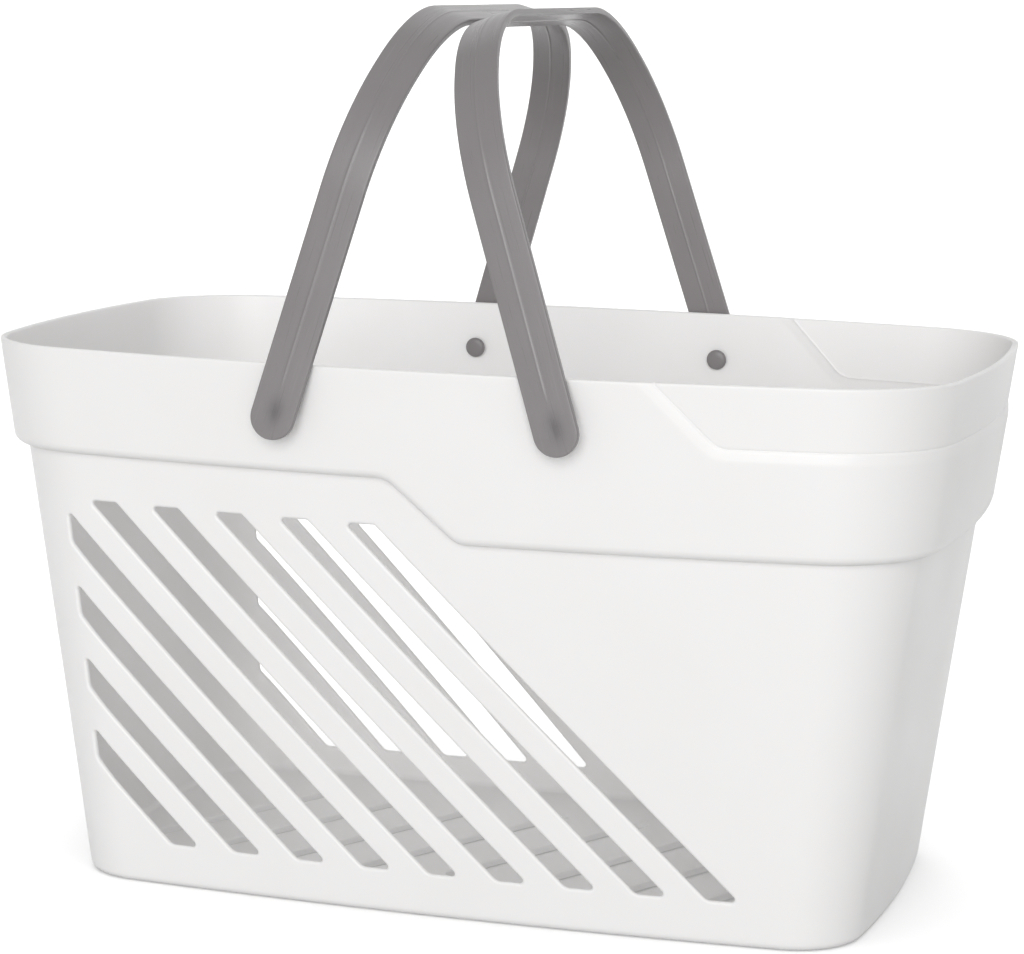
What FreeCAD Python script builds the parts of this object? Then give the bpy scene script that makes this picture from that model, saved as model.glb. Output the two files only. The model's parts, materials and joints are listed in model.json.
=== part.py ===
import FreeCAD, Part
import math
import os

# Shower caddy: a slotted, moulded polypropylene tub with two strap handles that
# swing on pegs moulded into their feet. Millimetres, X along the tub, Y to the
# rear, Z up, origin at the middle of the tub's footprint.

# Tub: plan outline at the foot and at the rim
TUB_HEIGHT = 187.3
FOOT_LENGTH = 279.9
FOOT_WIDTH = 152.5
RIM_LENGTH = 331.2          # of the lower body's faces carried up to the rim
RIM_WIDTH = 202.4
FOOT_CORNER_RADIUS = 24.3
RIM_CORNER_RADIUS = 38.6
FOOT_SIDE_BOW = 6.1         # how far a long side bulges over its span
RIM_SIDE_BOW = 18.0
FOOT_END_BOW = 5.5
RIM_END_BOW = 11.0
WALL = 2.2
FOOT_EDGE_RADIUS = 2.6

# Floor, raised on the foot rim so that water runs off
FLOOR_UNDERSIDE = 2.8
FLOOR_THICKNESS = 2.4
DRAIN_COUNT = 8
DRAIN_PITCH = 30.8          # along X
DRAIN_WIDTH = 6.0
DRAIN_SPAN = 88.0           # along Y
DRAIN_ANGLE = 62.0          # degrees from X

# Collar: a band that stands proud round the top, lower on its right half
COLLAR_PROUD = 4.4
COLLAR_DEPTH_LEFT = 36.0    # from the rim down to the collar's lower edge
COLLAR_DEPTH_RIGHT = 56.6
COLLAR_STEP_X = -12.0       # where the step starts down
COLLAR_STEP_ANGLE = 42.0
COLLAR_STEP_RADIUS = 9.0
COLLAR_EDGE_RADIUS = 2.8
RIM_EDGE_RADIUS = 0.8

# Panel: the collar's upper right part, set back a little
PANEL_SET_BACK = 0.8
PANEL_DEPTH = 20.1          # from the rim down to the panel's lower edge
PANEL_STEP_X = 96.0         # where the sloping edge reaches the lower edge
PANEL_STEP_ANGLE = 45.0
PANEL_STEP_RADIUS = 9.0

# Diagonal slots in the long walls, inside a four-sided field
SLOT_COUNT = 9
SLOT_PITCH = 23.65          # along X
SLOT_SPAN = 10.7            # width along X
SLOT_ANGLE = 45.0
SLOT_FIELD_DROP = 16.3      # from the collar's left part down to the field's top
SLOT_FIELD_BOTTOM = 15.3
SLOT_FIELD_LEFT_TOP = -132.4
SLOT_FIELD_LEFT_BOTTOM = -124.0
SLOT_LAST_X = -17.8         # the last slot's upper edge on the field's top line
SLOT_BLUNT_RADIUS = 3.5
SLOT_SHARP_RADIUS = 1.4

# Handles
PIVOT_GAP = 80.0            # between the two straps' ends, along X
PIVOT_DEPTH = 16.8          # of the pivots below the rim
HANDLE_RISE = 133.0         # pivot to the middle of the strap at the top
SHOULDER_HEIGHT = 98.5      # of the arch's lower bend above the pivot
SHOULDER_INSET = 6.2        # of that bend from the foot, towards the middle
TOP_BEND_HALF_WIDTH = 67.4
SHOULDER_RADIUS = 61.9
TOP_BEND_RADIUS = 55.0
STRAP_WIDTH = 14.8
STRAP_THICKNESS = 3.0
STRAP_EDGE_RADIUS = 0.9
LEFT_LEAN = 16.6            # degrees towards the middle at rest
RIGHT_LEAN = 17.7
RIM_CLEARANCE = 0.5         # between the strap's inside and the rim

# Pivots: peg, its shoulder and head on the handle; pad and hole on the tub
PEG_RADIUS = 2.8
PEG_RUNNING_CLEARANCE = 0.08
SHOULDER_FACE_CLEARANCE = 0.3
PEG_SHOULDER_RADIUS = 5.0
HEAD_RADIUS = 3.7
HEAD_THICKNESS = 1.5
HEAD_EDGE_RADIUS = 0.7
PAD_RADIUS = 5.6
PAD_PROUD = 1.1             # of the wall at the pivot's height

# Past anything in the model, and what counts as the same place
FAR = 400.0
TOUCH = 0.02

# Heights and places that follow from the sizes above
COLLAR_LOW_LEFT = TUB_HEIGHT - COLLAR_DEPTH_LEFT
COLLAR_LOW_RIGHT = TUB_HEIGHT - COLLAR_DEPTH_RIGHT
PANEL_LOW = TUB_HEIGHT - PANEL_DEPTH
SLOT_FIELD_TOP = COLLAR_LOW_LEFT - SLOT_FIELD_DROP
PIVOT_HEIGHT = TUB_HEIGHT - PIVOT_DEPTH
PIVOT_X = (PIVOT_GAP + STRAP_WIDTH) / 2


def vec(x, y, z):
    """A point or direction."""
    return FreeCAD.Vector(x, y, z)


def blend(low, high, z):
    """A size that runs straight from low at the foot to high at the rim."""
    return low + (high - low) * z / TUB_HEIGHT


def bow_radius(half_span, bow):
    """Radius of an arc that rises by bow over half_span."""
    return (half_span ** 2 + bow ** 2) / (2 * bow)


def plan_circles(z, offset):
    """The three circles of a quarter of the outline: (radius, centre x, centre y)."""
    half_x = blend(FOOT_LENGTH, RIM_LENGTH, z) / 2
    half_y = blend(FOOT_WIDTH, RIM_WIDTH, z) / 2
    side = bow_radius(half_x, blend(FOOT_SIDE_BOW, RIM_SIDE_BOW, z))
    end = bow_radius(half_y, blend(FOOT_END_BOW, RIM_END_BOW, z))
    corner = blend(FOOT_CORNER_RADIUS, RIM_CORNER_RADIUS, z)
    side_y = half_y - side
    end_x = half_x - end
    # The corner's centre is side - corner from the side's centre and
    # end - corner from the end's centre.
    reach_side = side - corner
    reach_end = end - corner
    apart = math.hypot(end_x, side_y)
    along = (reach_side ** 2 - reach_end ** 2 + apart ** 2) / (2 * apart)
    across = math.sqrt(reach_side ** 2 - along ** 2)
    unit_x = end_x / apart
    unit_y = -side_y / apart
    corner_x = unit_x * along + unit_y * across
    corner_y = side_y + unit_y * along - unit_x * across
    return (
        (side + offset, 0.0, side_y),
        (end + offset, end_x, 0.0),
        (corner + offset, corner_x, corner_y),
    )


def side_face_y(x, z, offset):
    """How far the long wall's face stands from the middle plane."""
    radius, _, centre_y = plan_circles(z, offset)[0]
    return centre_y + math.sqrt(radius ** 2 - x ** 2)


def end_face_x(z, offset):
    """How far the end wall's face stands from the middle, on the middle plane."""
    radius, centre_x, _ = plan_circles(z, offset)[1]
    return centre_x + radius


def plan_wire(z, offset):
    """Closed outline of the tub at height z, pushed out by offset."""
    side, end, corner = plan_circles(z, offset)
    toward_side = math.atan2(corner[2] - side[2], corner[1])
    toward_end = math.atan2(corner[2], corner[1] - end[1])
    middle = (toward_side + toward_end) / 2
    near_side = (
        side[0] * math.cos(toward_side),
        side[2] + side[0] * math.sin(toward_side),
    )
    near_end = (
        end[1] + end[0] * math.cos(toward_end),
        end[0] * math.sin(toward_end),
    )
    at_corner = (
        corner[1] + corner[0] * math.cos(middle),
        corner[2] + corner[0] * math.sin(middle),
    )
    side_top = side[2] + side[0]
    end_tip = end[1] + end[0]
    runs = []
    for sx, sy in ((1, 1), (-1, 1), (-1, -1), (1, -1)):
        side_near = vec(sx * near_side[0], sy * near_side[1], z)
        end_near = vec(sx * near_end[0], sy * near_end[1], z)
        turn = Part.Arc(side_near, vec(sx * at_corner[0], sy * at_corner[1], z), end_near)
        if sx * sy > 0:
            turn = Part.Arc(end_near, vec(sx * at_corner[0], sy * at_corner[1], z), side_near)
        runs.append(turn.toShape())
        if sx == sy:
            other = vec(-side_near.x, side_near.y, z)
            runs.append(Part.Arc(side_near, vec(0, sy * side_top, z), other).toShape())
        else:
            other = vec(end_near.x, -end_near.y, z)
            runs.append(Part.Arc(end_near, vec(sx * end_tip, 0, z), other).toShape())
    return Part.Wire(runs)


def plan_solid(low, high, offset):
    """The tub's outer form, pushed out by offset, between two heights."""
    return Part.makeLoft([plan_wire(low, offset), plan_wire(high, offset)], True, True)


def rounded_wire(points, radii, lift):
    """Closed wire through points, each corner an arc of its radius, placed by lift."""
    count = len(points)
    edges = []
    ends = []
    for i, radius in enumerate(radii):
        x, z = points[i]
        before = points[i - 1]
        after = points[(i + 1) % count]
        back = (before[0] - x, before[1] - z)
        ahead = (after[0] - x, after[1] - z)
        back_length = math.hypot(*back)
        ahead_length = math.hypot(*ahead)
        back = (back[0] / back_length, back[1] / back_length)
        ahead = (ahead[0] / ahead_length, ahead[1] / ahead_length)
        if radius == 0:
            ends.append(((x, z), (x, z)))
            continue
        opening = math.acos(back[0] * ahead[0] + back[1] * ahead[1])
        cut = radius / math.tan(opening / 2)
        start = (x + back[0] * cut, z + back[1] * cut)
        end = (x + ahead[0] * cut, z + ahead[1] * cut)
        mid = (back[0] + ahead[0], back[1] + ahead[1])
        mid_length = math.hypot(*mid)
        reach = radius / math.sin(opening / 2) - radius
        apex = (x + mid[0] / mid_length * reach, z + mid[1] / mid_length * reach)
        edges.append((i, Part.Arc(lift(*start), lift(*apex), lift(*end)).toShape()))
        ends.append((start, end))
    for i in range(count):
        leave = lift(*ends[i][1])
        arrive = lift(*ends[(i + 1) % count][0])
        edges.append((i + 0.5, Part.makeLine(leave, arrive)))
    edges.sort(key=lambda item: item[0])
    return Part.Wire([edge for _, edge in edges])


def through_y(points, radii):
    """Prism that runs right through the tub along Y, from an outline in X and Z."""
    wire = rounded_wire(points, radii, lambda x, z: vec(x, -FAR, z))
    return Part.Face(wire).extrude(vec(0, 2 * FAR, 0))


def above_collar_edge(lift):
    """Everything above the collar's stepped lower edge, raised square to it by lift."""
    slope = math.radians(COLLAR_STEP_ANGLE)
    drop = COLLAR_LOW_LEFT - COLLAR_LOW_RIGHT
    start_x = COLLAR_STEP_X + lift * math.tan(slope / 2)
    end_x = start_x + drop / math.tan(slope)
    return through_y(
        [
            (-FAR, COLLAR_LOW_LEFT + lift),
            (start_x, COLLAR_LOW_LEFT + lift),
            (end_x, COLLAR_LOW_RIGHT + lift),
            (FAR, COLLAR_LOW_RIGHT + lift),
            (FAR, FAR),
            (-FAR, FAR),
        ],
        [0, COLLAR_STEP_RADIUS, COLLAR_STEP_RADIUS, 0, 0, 0],
    )


def above_panel_edge():
    """Everything above the set-back panel's sloping and lower edges."""
    slope = math.radians(PANEL_STEP_ANGLE)
    top = TUB_HEIGHT + 2 * COLLAR_PROUD
    return through_y(
        [
            (PANEL_STEP_X - (top - PANEL_LOW) / math.tan(slope), top),
            (PANEL_STEP_X, PANEL_LOW),
            (FAR, PANEL_LOW),
            (FAR, top),
        ],
        [0, PANEL_STEP_RADIUS, 0, 0],
    )


def edges_at(solid, height):
    """Edges that lie level at a height."""
    return [
        edge
        for edge in solid.Edges
        if abs(edge.BoundBox.ZMin - height) + abs(edge.BoundBox.ZMax - height) < TOUCH
    ]


def body_shell():
    """Lower body and collar with the inside hollowed out to an even wall."""
    lap = TUB_HEIGHT - (TUB_HEIGHT - COLLAR_LOW_LEFT) / 2
    body = plan_solid(0, lap, 0)
    body = body.makeFillet(FOOT_EDGE_RADIUS, edges_at(body, 0))
    collar = plan_solid(COLLAR_LOW_RIGHT - 2 * WALL, TUB_HEIGHT, COLLAR_PROUD)
    collar = collar.makeFillet(RIM_EDGE_RADIUS, edges_at(collar, TUB_HEIGHT))
    collar = collar.common(above_collar_edge(0))
    under = [
        edge
        for edge in collar.Edges
        if edge.BoundBox.ZMax < COLLAR_LOW_LEFT + TOUCH and runs_outside(edge)
    ]
    collar = collar.makeFillet(COLLAR_EDGE_RADIUS, under)
    outer = body.fuse(collar)
    floor_top = FLOOR_UNDERSIDE + FLOOR_THICKNESS
    lower_room = plan_solid(floor_top, lap + 2 * WALL, -WALL)
    upper_room = plan_solid(COLLAR_LOW_RIGHT - WALL, TUB_HEIGHT + 1, COLLAR_PROUD - WALL)
    upper_room = upper_room.common(above_collar_edge(WALL))
    under_room = plan_solid(-1, FLOOR_UNDERSIDE, -2 * WALL)
    return outer.cut(lower_room.fuse(upper_room)).cut(under_room)


def runs_outside(edge):
    """Whether an edge of the collar block runs along its outside, not across it."""
    return not any(within_plan(point, COLLAR_PROUD - WALL) for point in edge.discretize(5))


def within_plan(point, offset):
    """Whether a point lies within the outline of its height, pushed out by offset."""
    side, end, corner = plan_circles(point.z, offset)
    x, y = abs(point.x), abs(point.y)
    in_side = math.hypot(x, y - side[2]) < side[0]
    in_end = math.hypot(x - end[1], y) < end[0]
    past_corner = x > corner[1] and y > corner[2]
    in_corner = math.hypot(x - corner[1], y - corner[2]) < corner[0]
    return in_side and in_end and (in_corner or not past_corner)


def panel_cut():
    """The ring of material taken off outside the set-back panel."""
    low = PANEL_LOW - COLLAR_PROUD
    high = TUB_HEIGHT + COLLAR_PROUD
    outside = plan_solid(low, high, 2 * COLLAR_PROUD)
    kept = plan_solid(low, high, COLLAR_PROUD - PANEL_SET_BACK)
    return outside.cut(kept).common(above_panel_edge())


def field_left(z):
    """The slot field's left line at height z."""
    share = (z - SLOT_FIELD_BOTTOM) / (SLOT_FIELD_TOP - SLOT_FIELD_BOTTOM)
    return SLOT_FIELD_LEFT_BOTTOM + (SLOT_FIELD_LEFT_TOP - SLOT_FIELD_LEFT_BOTTOM) * share


def slot_outline(upper_x):
    """One slot's corners and radii; upper_x is its upper edge on the field's top line."""
    run = 1 / math.tan(math.radians(SLOT_ANGLE))
    lower_x = upper_x - SLOT_SPAN
    fall = (SLOT_FIELD_TOP - SLOT_FIELD_BOTTOM) * run
    bottom = [
        (upper_x + fall, SLOT_FIELD_BOTTOM),
        (lower_x + fall, SLOT_FIELD_BOTTOM),
    ]
    bottom_radii = [SLOT_SHARP_RADIUS, SLOT_BLUNT_RADIUS]
    if lower_x >= SLOT_FIELD_LEFT_TOP:
        top = [(lower_x, SLOT_FIELD_TOP), (upper_x, SLOT_FIELD_TOP)]
        return bottom + top, bottom_radii + [SLOT_SHARP_RADIUS, SLOT_BLUNT_RADIUS]
    return bottom + [meet_left(lower_x, run), meet_left(upper_x, run)], bottom_radii + [
        SLOT_BLUNT_RADIUS,
        SLOT_SHARP_RADIUS,
    ]


def meet_left(edge_x, run):
    """Where a slot edge, at edge_x on the top line, meets the field's left line."""
    lean = (SLOT_FIELD_LEFT_TOP - SLOT_FIELD_LEFT_BOTTOM) / (
        SLOT_FIELD_TOP - SLOT_FIELD_BOTTOM
    )
    down = (SLOT_FIELD_LEFT_TOP - edge_x) / (run + lean)
    return (edge_x + down * run, SLOT_FIELD_TOP - down)


def slot_prisms():
    """The diagonal slots, each cut through both long walls."""
    return [
        through_y(*slot_outline(SLOT_LAST_X - i * SLOT_PITCH)) for i in range(SLOT_COUNT)
    ]


def drain_prisms():
    """The slanting drain slots in the floor."""
    slant = math.radians(DRAIN_ANGLE)
    half_run = (DRAIN_SPAN / 2 - DRAIN_WIDTH / 2) / math.tan(slant)
    half_y = DRAIN_SPAN / 2 - DRAIN_WIDTH / 2
    across = (
        DRAIN_WIDTH / 2 * math.sin(slant),
        -DRAIN_WIDTH / 2 * math.cos(slant),
    )
    prisms = []
    for i in range(DRAIN_COUNT):
        middle = (i - (DRAIN_COUNT - 1) / 2) * DRAIN_PITCH
        near = (middle - half_run, -half_y)
        far = (middle + half_run, half_y)
        tip = (DRAIN_WIDTH / 2 * math.cos(slant), DRAIN_WIDTH / 2 * math.sin(slant))
        corners = [
            vec(near[0] + across[0], near[1] + across[1], 0),
            vec(far[0] + across[0], far[1] + across[1], 0),
            vec(far[0] - across[0], far[1] - across[1], 0),
            vec(near[0] - across[0], near[1] - across[1], 0),
        ]
        far_tip = vec(far[0] + tip[0], far[1] + tip[1], 0)
        near_tip = vec(near[0] - tip[0], near[1] - tip[1], 0)
        wire = Part.Wire(
            [
                Part.makeLine(corners[0], corners[1]),
                Part.Arc(corners[1], far_tip, corners[2]).toShape(),
                Part.makeLine(corners[2], corners[3]),
                Part.Arc(corners[3], near_tip, corners[0]).toShape(),
            ]
        )
        floor_top = FLOOR_UNDERSIDE + FLOOR_THICKNESS
        prisms.append(Part.Face(wire).extrude(vec(0, 0, floor_top + 1)))
    return prisms


def pivot_face_y():
    """Where the pads' flat faces stand, from the middle plane."""
    return side_face_y(PIVOT_X, PIVOT_HEIGHT, COLLAR_PROUD) + PAD_PROUD


def pivot_pads():
    """Flat round pads on the collar, under the handles' feet."""
    start = side_face_y(PIVOT_X, PIVOT_HEIGHT, COLLAR_PROUD) - WALL / 2
    pads = []
    for x in (-PIVOT_X, PIVOT_X):
        for side in (-1, 1):
            base = vec(x, side * start, PIVOT_HEIGHT)
            length = pivot_face_y() - start
            pads.append(Part.makeCylinder(PAD_RADIUS, length, base, vec(0, side, 0)))
    return pads


def pivot_holes():
    """Holes that the pegs turn in, through both long walls."""
    radius = PEG_RADIUS + PEG_RUNNING_CLEARANCE
    return [
        Part.makeCylinder(radius, 2 * FAR, vec(x, -FAR, PIVOT_HEIGHT), vec(0, 1, 0))
        for x in (-PIVOT_X, PIVOT_X)
    ]


def make_tub():
    """The moulded tub."""
    tub = body_shell().cut(panel_cut())
    for prism in slot_prisms() + drain_prisms():
        tub = tub.cut(prism)
    for pad in pivot_pads():
        tub = tub.fuse(pad)
    for hole in pivot_holes():
        tub = tub.cut(hole)
    return tub.removeSplitter()


def foot_half_spacing():
    """Middle of a strap's thickness at the pivot, from the middle plane."""
    crossing = TUB_HEIGHT - PIVOT_HEIGHT
    strap_edge_x = PIVOT_X - crossing * math.tan(math.radians(RIGHT_LEAN)) - STRAP_WIDTH / 2
    rim_y = side_face_y(strap_edge_x, TUB_HEIGHT, COLLAR_PROUD)
    lean_in = SHOULDER_INSET / SHOULDER_HEIGHT * crossing
    return rim_y + RIM_CLEARANCE + lean_in + STRAP_THICKNESS / 2


def arch_wire(grow):
    """Half-ring outline in Y and height, the strap's middle line moved out by grow."""
    foot = foot_half_spacing()
    shoulder_y = foot - SHOULDER_INSET
    slope_leg = math.atan2(SHOULDER_INSET, SHOULDER_HEIGHT)
    rise = HANDLE_RISE - SHOULDER_HEIGHT
    slope_bend = math.atan2(shoulder_y - TOP_BEND_HALF_WIDTH, rise)
    # Each corner moves along its bisector, so that every run moves by grow.
    shoulder_turn = (slope_bend - slope_leg) / 2
    top_turn = (math.pi / 2 - slope_bend) / 2
    leg_normal = slope_leg + shoulder_turn
    shoulder = (
        shoulder_y + grow * math.cos(leg_normal) / math.cos(shoulder_turn),
        SHOULDER_HEIGHT + grow * math.sin(leg_normal) / math.cos(shoulder_turn),
    )
    bend_normal = slope_bend + top_turn
    top = (
        TOP_BEND_HALF_WIDTH + grow * math.cos(bend_normal) / math.cos(top_turn),
        HANDLE_RISE + grow * math.sin(bend_normal) / math.cos(top_turn),
    )
    low = -STRAP_WIDTH
    base_y = foot + grow / math.cos(slope_leg) - low * math.tan(slope_leg)
    points = [
        (base_y, low),
        shoulder,
        top,
        (-top[0], top[1]),
        (-shoulder[0], shoulder[1]),
        (-base_y, low),
    ]
    bends = [SHOULDER_RADIUS + grow, TOP_BEND_RADIUS + grow]
    radii = [0, bends[0], bends[1], bends[1], bends[0], 0]
    return rounded_wire(points, radii, lambda y, z: vec(-FAR / 2, y, z))


def make_strap():
    """Upright strap with its pivot on the Y axis."""
    outer = Part.Face(arch_wire(STRAP_THICKNESS / 2)).extrude(vec(FAR, 0, 0))
    inner = Part.Face(arch_wire(-STRAP_THICKNESS / 2)).extrude(vec(FAR, 0, 0))
    ring = outer.cut(inner)
    half = STRAP_WIDTH / 2
    silhouette = Part.Wire(
        [
            Part.makeLine(vec(half, -FAR, 0), vec(half, -FAR, FAR)),
            Part.makeLine(vec(half, -FAR, FAR), vec(-half, -FAR, FAR)),
            Part.makeLine(vec(-half, -FAR, FAR), vec(-half, -FAR, 0)),
            Part.Arc(vec(-half, -FAR, 0), vec(0, -FAR, -half), vec(half, -FAR, 0)).toShape(),
        ]
    )
    strap = ring.common(Part.Face(silhouette).extrude(vec(0, 2 * FAR, 0)))
    rims = [edge for edge in strap.Edges if edge.Length > 2 * STRAP_THICKNESS]
    return strap.makeFillet(STRAP_EDGE_RADIUS, rims)


def make_peg(side):
    """Shoulder, peg and head on one foot; side is -1 at the front and 1 at the rear."""
    strap_y = foot_half_spacing()
    shoulder_y = pivot_face_y() + SHOULDER_FACE_CLEARANCE
    inside = COLLAR_PROUD - WALL
    nearest = side_face_y(PIVOT_X + HEAD_RADIUS, PIVOT_HEIGHT - HEAD_RADIUS, inside)
    head_y = nearest - SHOULDER_FACE_CLEARANCE
    out = vec(0, side, 0)
    shoulder = Part.makeCylinder(
        PEG_SHOULDER_RADIUS, strap_y - shoulder_y, vec(0, side * shoulder_y, 0), out
    )
    peg = Part.makeCylinder(PEG_RADIUS, strap_y - head_y, vec(0, side * head_y, 0), out)
    head = Part.makeCylinder(
        HEAD_RADIUS, HEAD_THICKNESS, vec(0, side * (head_y - HEAD_THICKNESS), 0), out
    )
    tip = side * (head_y - HEAD_THICKNESS)
    rim = [
        edge
        for edge in head.Edges
        if abs(edge.BoundBox.YMin - tip) + abs(edge.BoundBox.YMax - tip) < TOUCH
    ]
    return shoulder.fuse([peg, head.makeFillet(HEAD_EDGE_RADIUS, rim)])


def make_handle(side, lean):
    """One handle at rest; side is -1 for the left pivot and 1 for the right."""
    handle = make_strap()
    for end in (-1, 1):
        handle = handle.fuse(make_peg(end))
    handle = handle.removeSplitter()
    handle.rotate(vec(0, 0, 0), vec(0, 1, 0), -side * lean)
    handle.translate(vec(side * PIVOT_X, 0, PIVOT_HEIGHT))
    return handle


os.makedirs("parts", exist_ok=True)
nodes = {
    "tub": make_tub(),
    "left_handle": make_handle(-1, LEFT_LEAN),
    "right_handle": make_handle(1, RIGHT_LEAN),
}
for name, shape in nodes.items():
    shape.exportStep(f"parts/{name}.step")
    box = shape.BoundBox
    print(
        f"{name}: {len(shape.Solids)} solid, valid {shape.isValid()}, "
        f"volume {shape.Volume / 1000:.1f} cm3, "
        f"x {box.XMin:.1f}..{box.XMax:.1f}, y {box.YMin:.1f}..{box.YMax:.1f}, "
        f"z {box.ZMin:.1f}..{box.ZMax:.1f}"
    )
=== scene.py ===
import functools
import json
import logging
import math
from dataclasses import dataclass, field
from enum import Enum

import bmesh
import bpy
import numpy as np
from mathutils import Matrix, Vector, geometry


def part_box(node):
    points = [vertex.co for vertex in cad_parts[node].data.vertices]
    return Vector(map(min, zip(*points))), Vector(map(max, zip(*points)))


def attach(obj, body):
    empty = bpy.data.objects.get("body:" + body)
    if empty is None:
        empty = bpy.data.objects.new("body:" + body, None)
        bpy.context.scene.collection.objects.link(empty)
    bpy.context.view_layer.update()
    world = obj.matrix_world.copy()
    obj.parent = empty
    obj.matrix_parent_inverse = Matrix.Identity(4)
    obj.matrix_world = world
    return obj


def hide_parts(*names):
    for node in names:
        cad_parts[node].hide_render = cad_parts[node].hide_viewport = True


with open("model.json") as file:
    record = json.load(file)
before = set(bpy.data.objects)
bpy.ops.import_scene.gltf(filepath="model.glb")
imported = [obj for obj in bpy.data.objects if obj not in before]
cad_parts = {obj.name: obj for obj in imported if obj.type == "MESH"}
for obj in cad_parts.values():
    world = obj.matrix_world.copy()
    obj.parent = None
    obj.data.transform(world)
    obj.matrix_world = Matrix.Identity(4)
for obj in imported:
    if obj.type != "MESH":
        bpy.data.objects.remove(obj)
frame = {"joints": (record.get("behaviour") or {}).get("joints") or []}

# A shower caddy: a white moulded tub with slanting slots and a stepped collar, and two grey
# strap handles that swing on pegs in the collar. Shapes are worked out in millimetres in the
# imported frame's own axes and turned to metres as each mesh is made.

MM = 0.001
QUARTER_TURN = math.pi / 2
MERGE_MM = 0.004                    # points closer than this are one point
SLIVER_MM = 0.001                   # edges shorter than this are closed up
CROSSING_MM = 1e-5                  # how closely the triangulation tells points apart
FIRST_COLOUR = 6                    # sockets of a mix node that mixes colours
SECOND_COLOUR = 7
MIXED_COLOUR = 2
LOG = logging.getLogger("shower_caddy")

Flat = tuple[float, float]
Place = tuple[float, float, float]


class End(Enum):
    """Which end of the tub a piece belongs to; the value is its sign along X."""

    LEFT = -1
    RIGHT = 1


class Side(Enum):
    """Which long wall a piece belongs to; the value is its sign along Y."""

    FRONT = -1
    REAR = 1


def box_mm(node: str) -> tuple[Place, Place]:
    """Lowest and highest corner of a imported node, in millimetres.

    Args:
        node: name of the node.

    Returns:
        The two corners.
    """
    low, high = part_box(node)
    return tuple(v / MM for v in low), tuple(v / MM for v in high)


def pivot_mm(joint_name: str) -> Place:
    """Where a hinge's axis crosses the middle plane, in millimetres.

    Args:
        joint_name: the hinge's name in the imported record.

    Returns:
        The point that the record gives for that hinge.
    """
    joint = next(j for j in frame["joints"] if j["name"] == joint_name)
    return tuple(v / MM for v in joint["pos_m"])


def spread(low: float, high: float, step: float) -> list[float]:
    """Even steps of at most step from low to high, either way up, both included."""
    count = max(1, math.ceil(abs(high - low) / step))
    return [low + (high - low) * i / count for i in range(count + 1)]


def full_turn(sides: int) -> list[float]:
    """Angles of so many even steps round a circle, from 0."""
    return [2 * math.pi * i / sides for i in range(sides)]


def eased(value: float, soft: float) -> float:
    """Zero below 0 and value above it, with the bend eased.

    Args:
        value: the value.
        soft: how far the bend reaches on each side of 0.

    Returns:
        The eased value.
    """
    if value <= -soft:
        return 0.0
    if value >= soft:
        return value
    return (value + soft) ** 2 / (4 * soft)


def rounding(radius: float, steps: int = 5) -> list[Flat]:
    """How a rounded edge runs: pairs of (still to go, gone down), from face to side.

    Args:
        radius: the edge's radius.
        steps: how many faces make the quarter turn.

    Returns:
        Pairs that start at (radius, 0) and end at (0, radius).
    """
    turns = [QUARTER_TURN * i / steps for i in range(steps + 1)]
    return [(radius * (1 - math.sin(t)), radius * (1 - math.cos(t))) for t in turns]


@dataclass(frozen=True)
class EdgePoint:
    """A point of an outline, with the unit direction that leads off to its left."""

    x: float
    z: float
    left_x: float
    left_z: float

    def off(self, reach: float) -> Flat:
        """The place at reach from the point, to its left."""
        return (self.x + self.left_x * reach, self.z + self.left_z * reach)


def rounded_path(
    corners: list[Flat], radii: list[float], step: float, closed: bool, arc_step: float = 0.8
) -> list[EdgePoint]:
    """Walks an outline of straight runs with rounded corners.

    Args:
        corners: the outline's corners before rounding.
        radii: each corner's radius; an open path's two ends need none.
        step: longest distance between points on a straight run.
        closed: whether the last corner leads back to the first.
        arc_step: longest distance between points round a corner.

    Returns:
        Points in order, with no point repeated.
    """
    count = len(corners)
    arcs: list[list[EdgePoint]] = []
    for i, (corner, radius) in enumerate(zip(corners, radii)):
        if not closed and i in (0, count - 1):
            near = corners[1] if i == 0 else corners[i - 1]
            sign = 1 if i == 0 else -1
            heading = Vector((near[0] - corner[0], near[1] - corner[1])).normalized() * sign
            arcs.append([EdgePoint(corner[0], corner[1], -heading.y, heading.x)])
            continue
        before = Vector(corner) - Vector(corners[i - 1])
        after = Vector(corners[(i + 1) % count]) - Vector(corner)
        before.normalize()
        after.normalize()
        turn = math.atan2(before.x * after.y - before.y * after.x, before.dot(after))
        cut = radius * math.tan(abs(turn) / 2)
        start = Vector(corner) - before * cut
        side = math.copysign(1, turn)
        centre = start + Vector((-before.y, before.x)) * radius * side
        pieces = max(3, math.ceil(abs(turn) * radius / arc_step))
        run = []
        for k in range(pieces + 1):
            angle = turn * k / pieces
            spin = Matrix.Rotation(angle, 2)
            left = spin @ Vector((-before.y, before.x))
            point = centre + spin @ (start - centre)
            run.append(EdgePoint(point.x, point.y, left.x, left.y))
        arcs.append(run)
    path: list[EdgePoint] = []
    for i, run in enumerate(arcs):
        path.extend(run)
        if not closed and i == count - 1:
            break
        last, first = run[-1], arcs[(i + 1) % count][0]
        length = math.hypot(first.x - last.x, first.z - last.z)
        pieces = max(1, math.ceil(length / step))
        for k in range(1, pieces):
            share = k / pieces
            path.append(
                EdgePoint(
                    last.x + (first.x - last.x) * share,
                    last.z + (first.z - last.z) * share,
                    last.left_x,
                    last.left_z,
                )
            )
    return path


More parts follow.
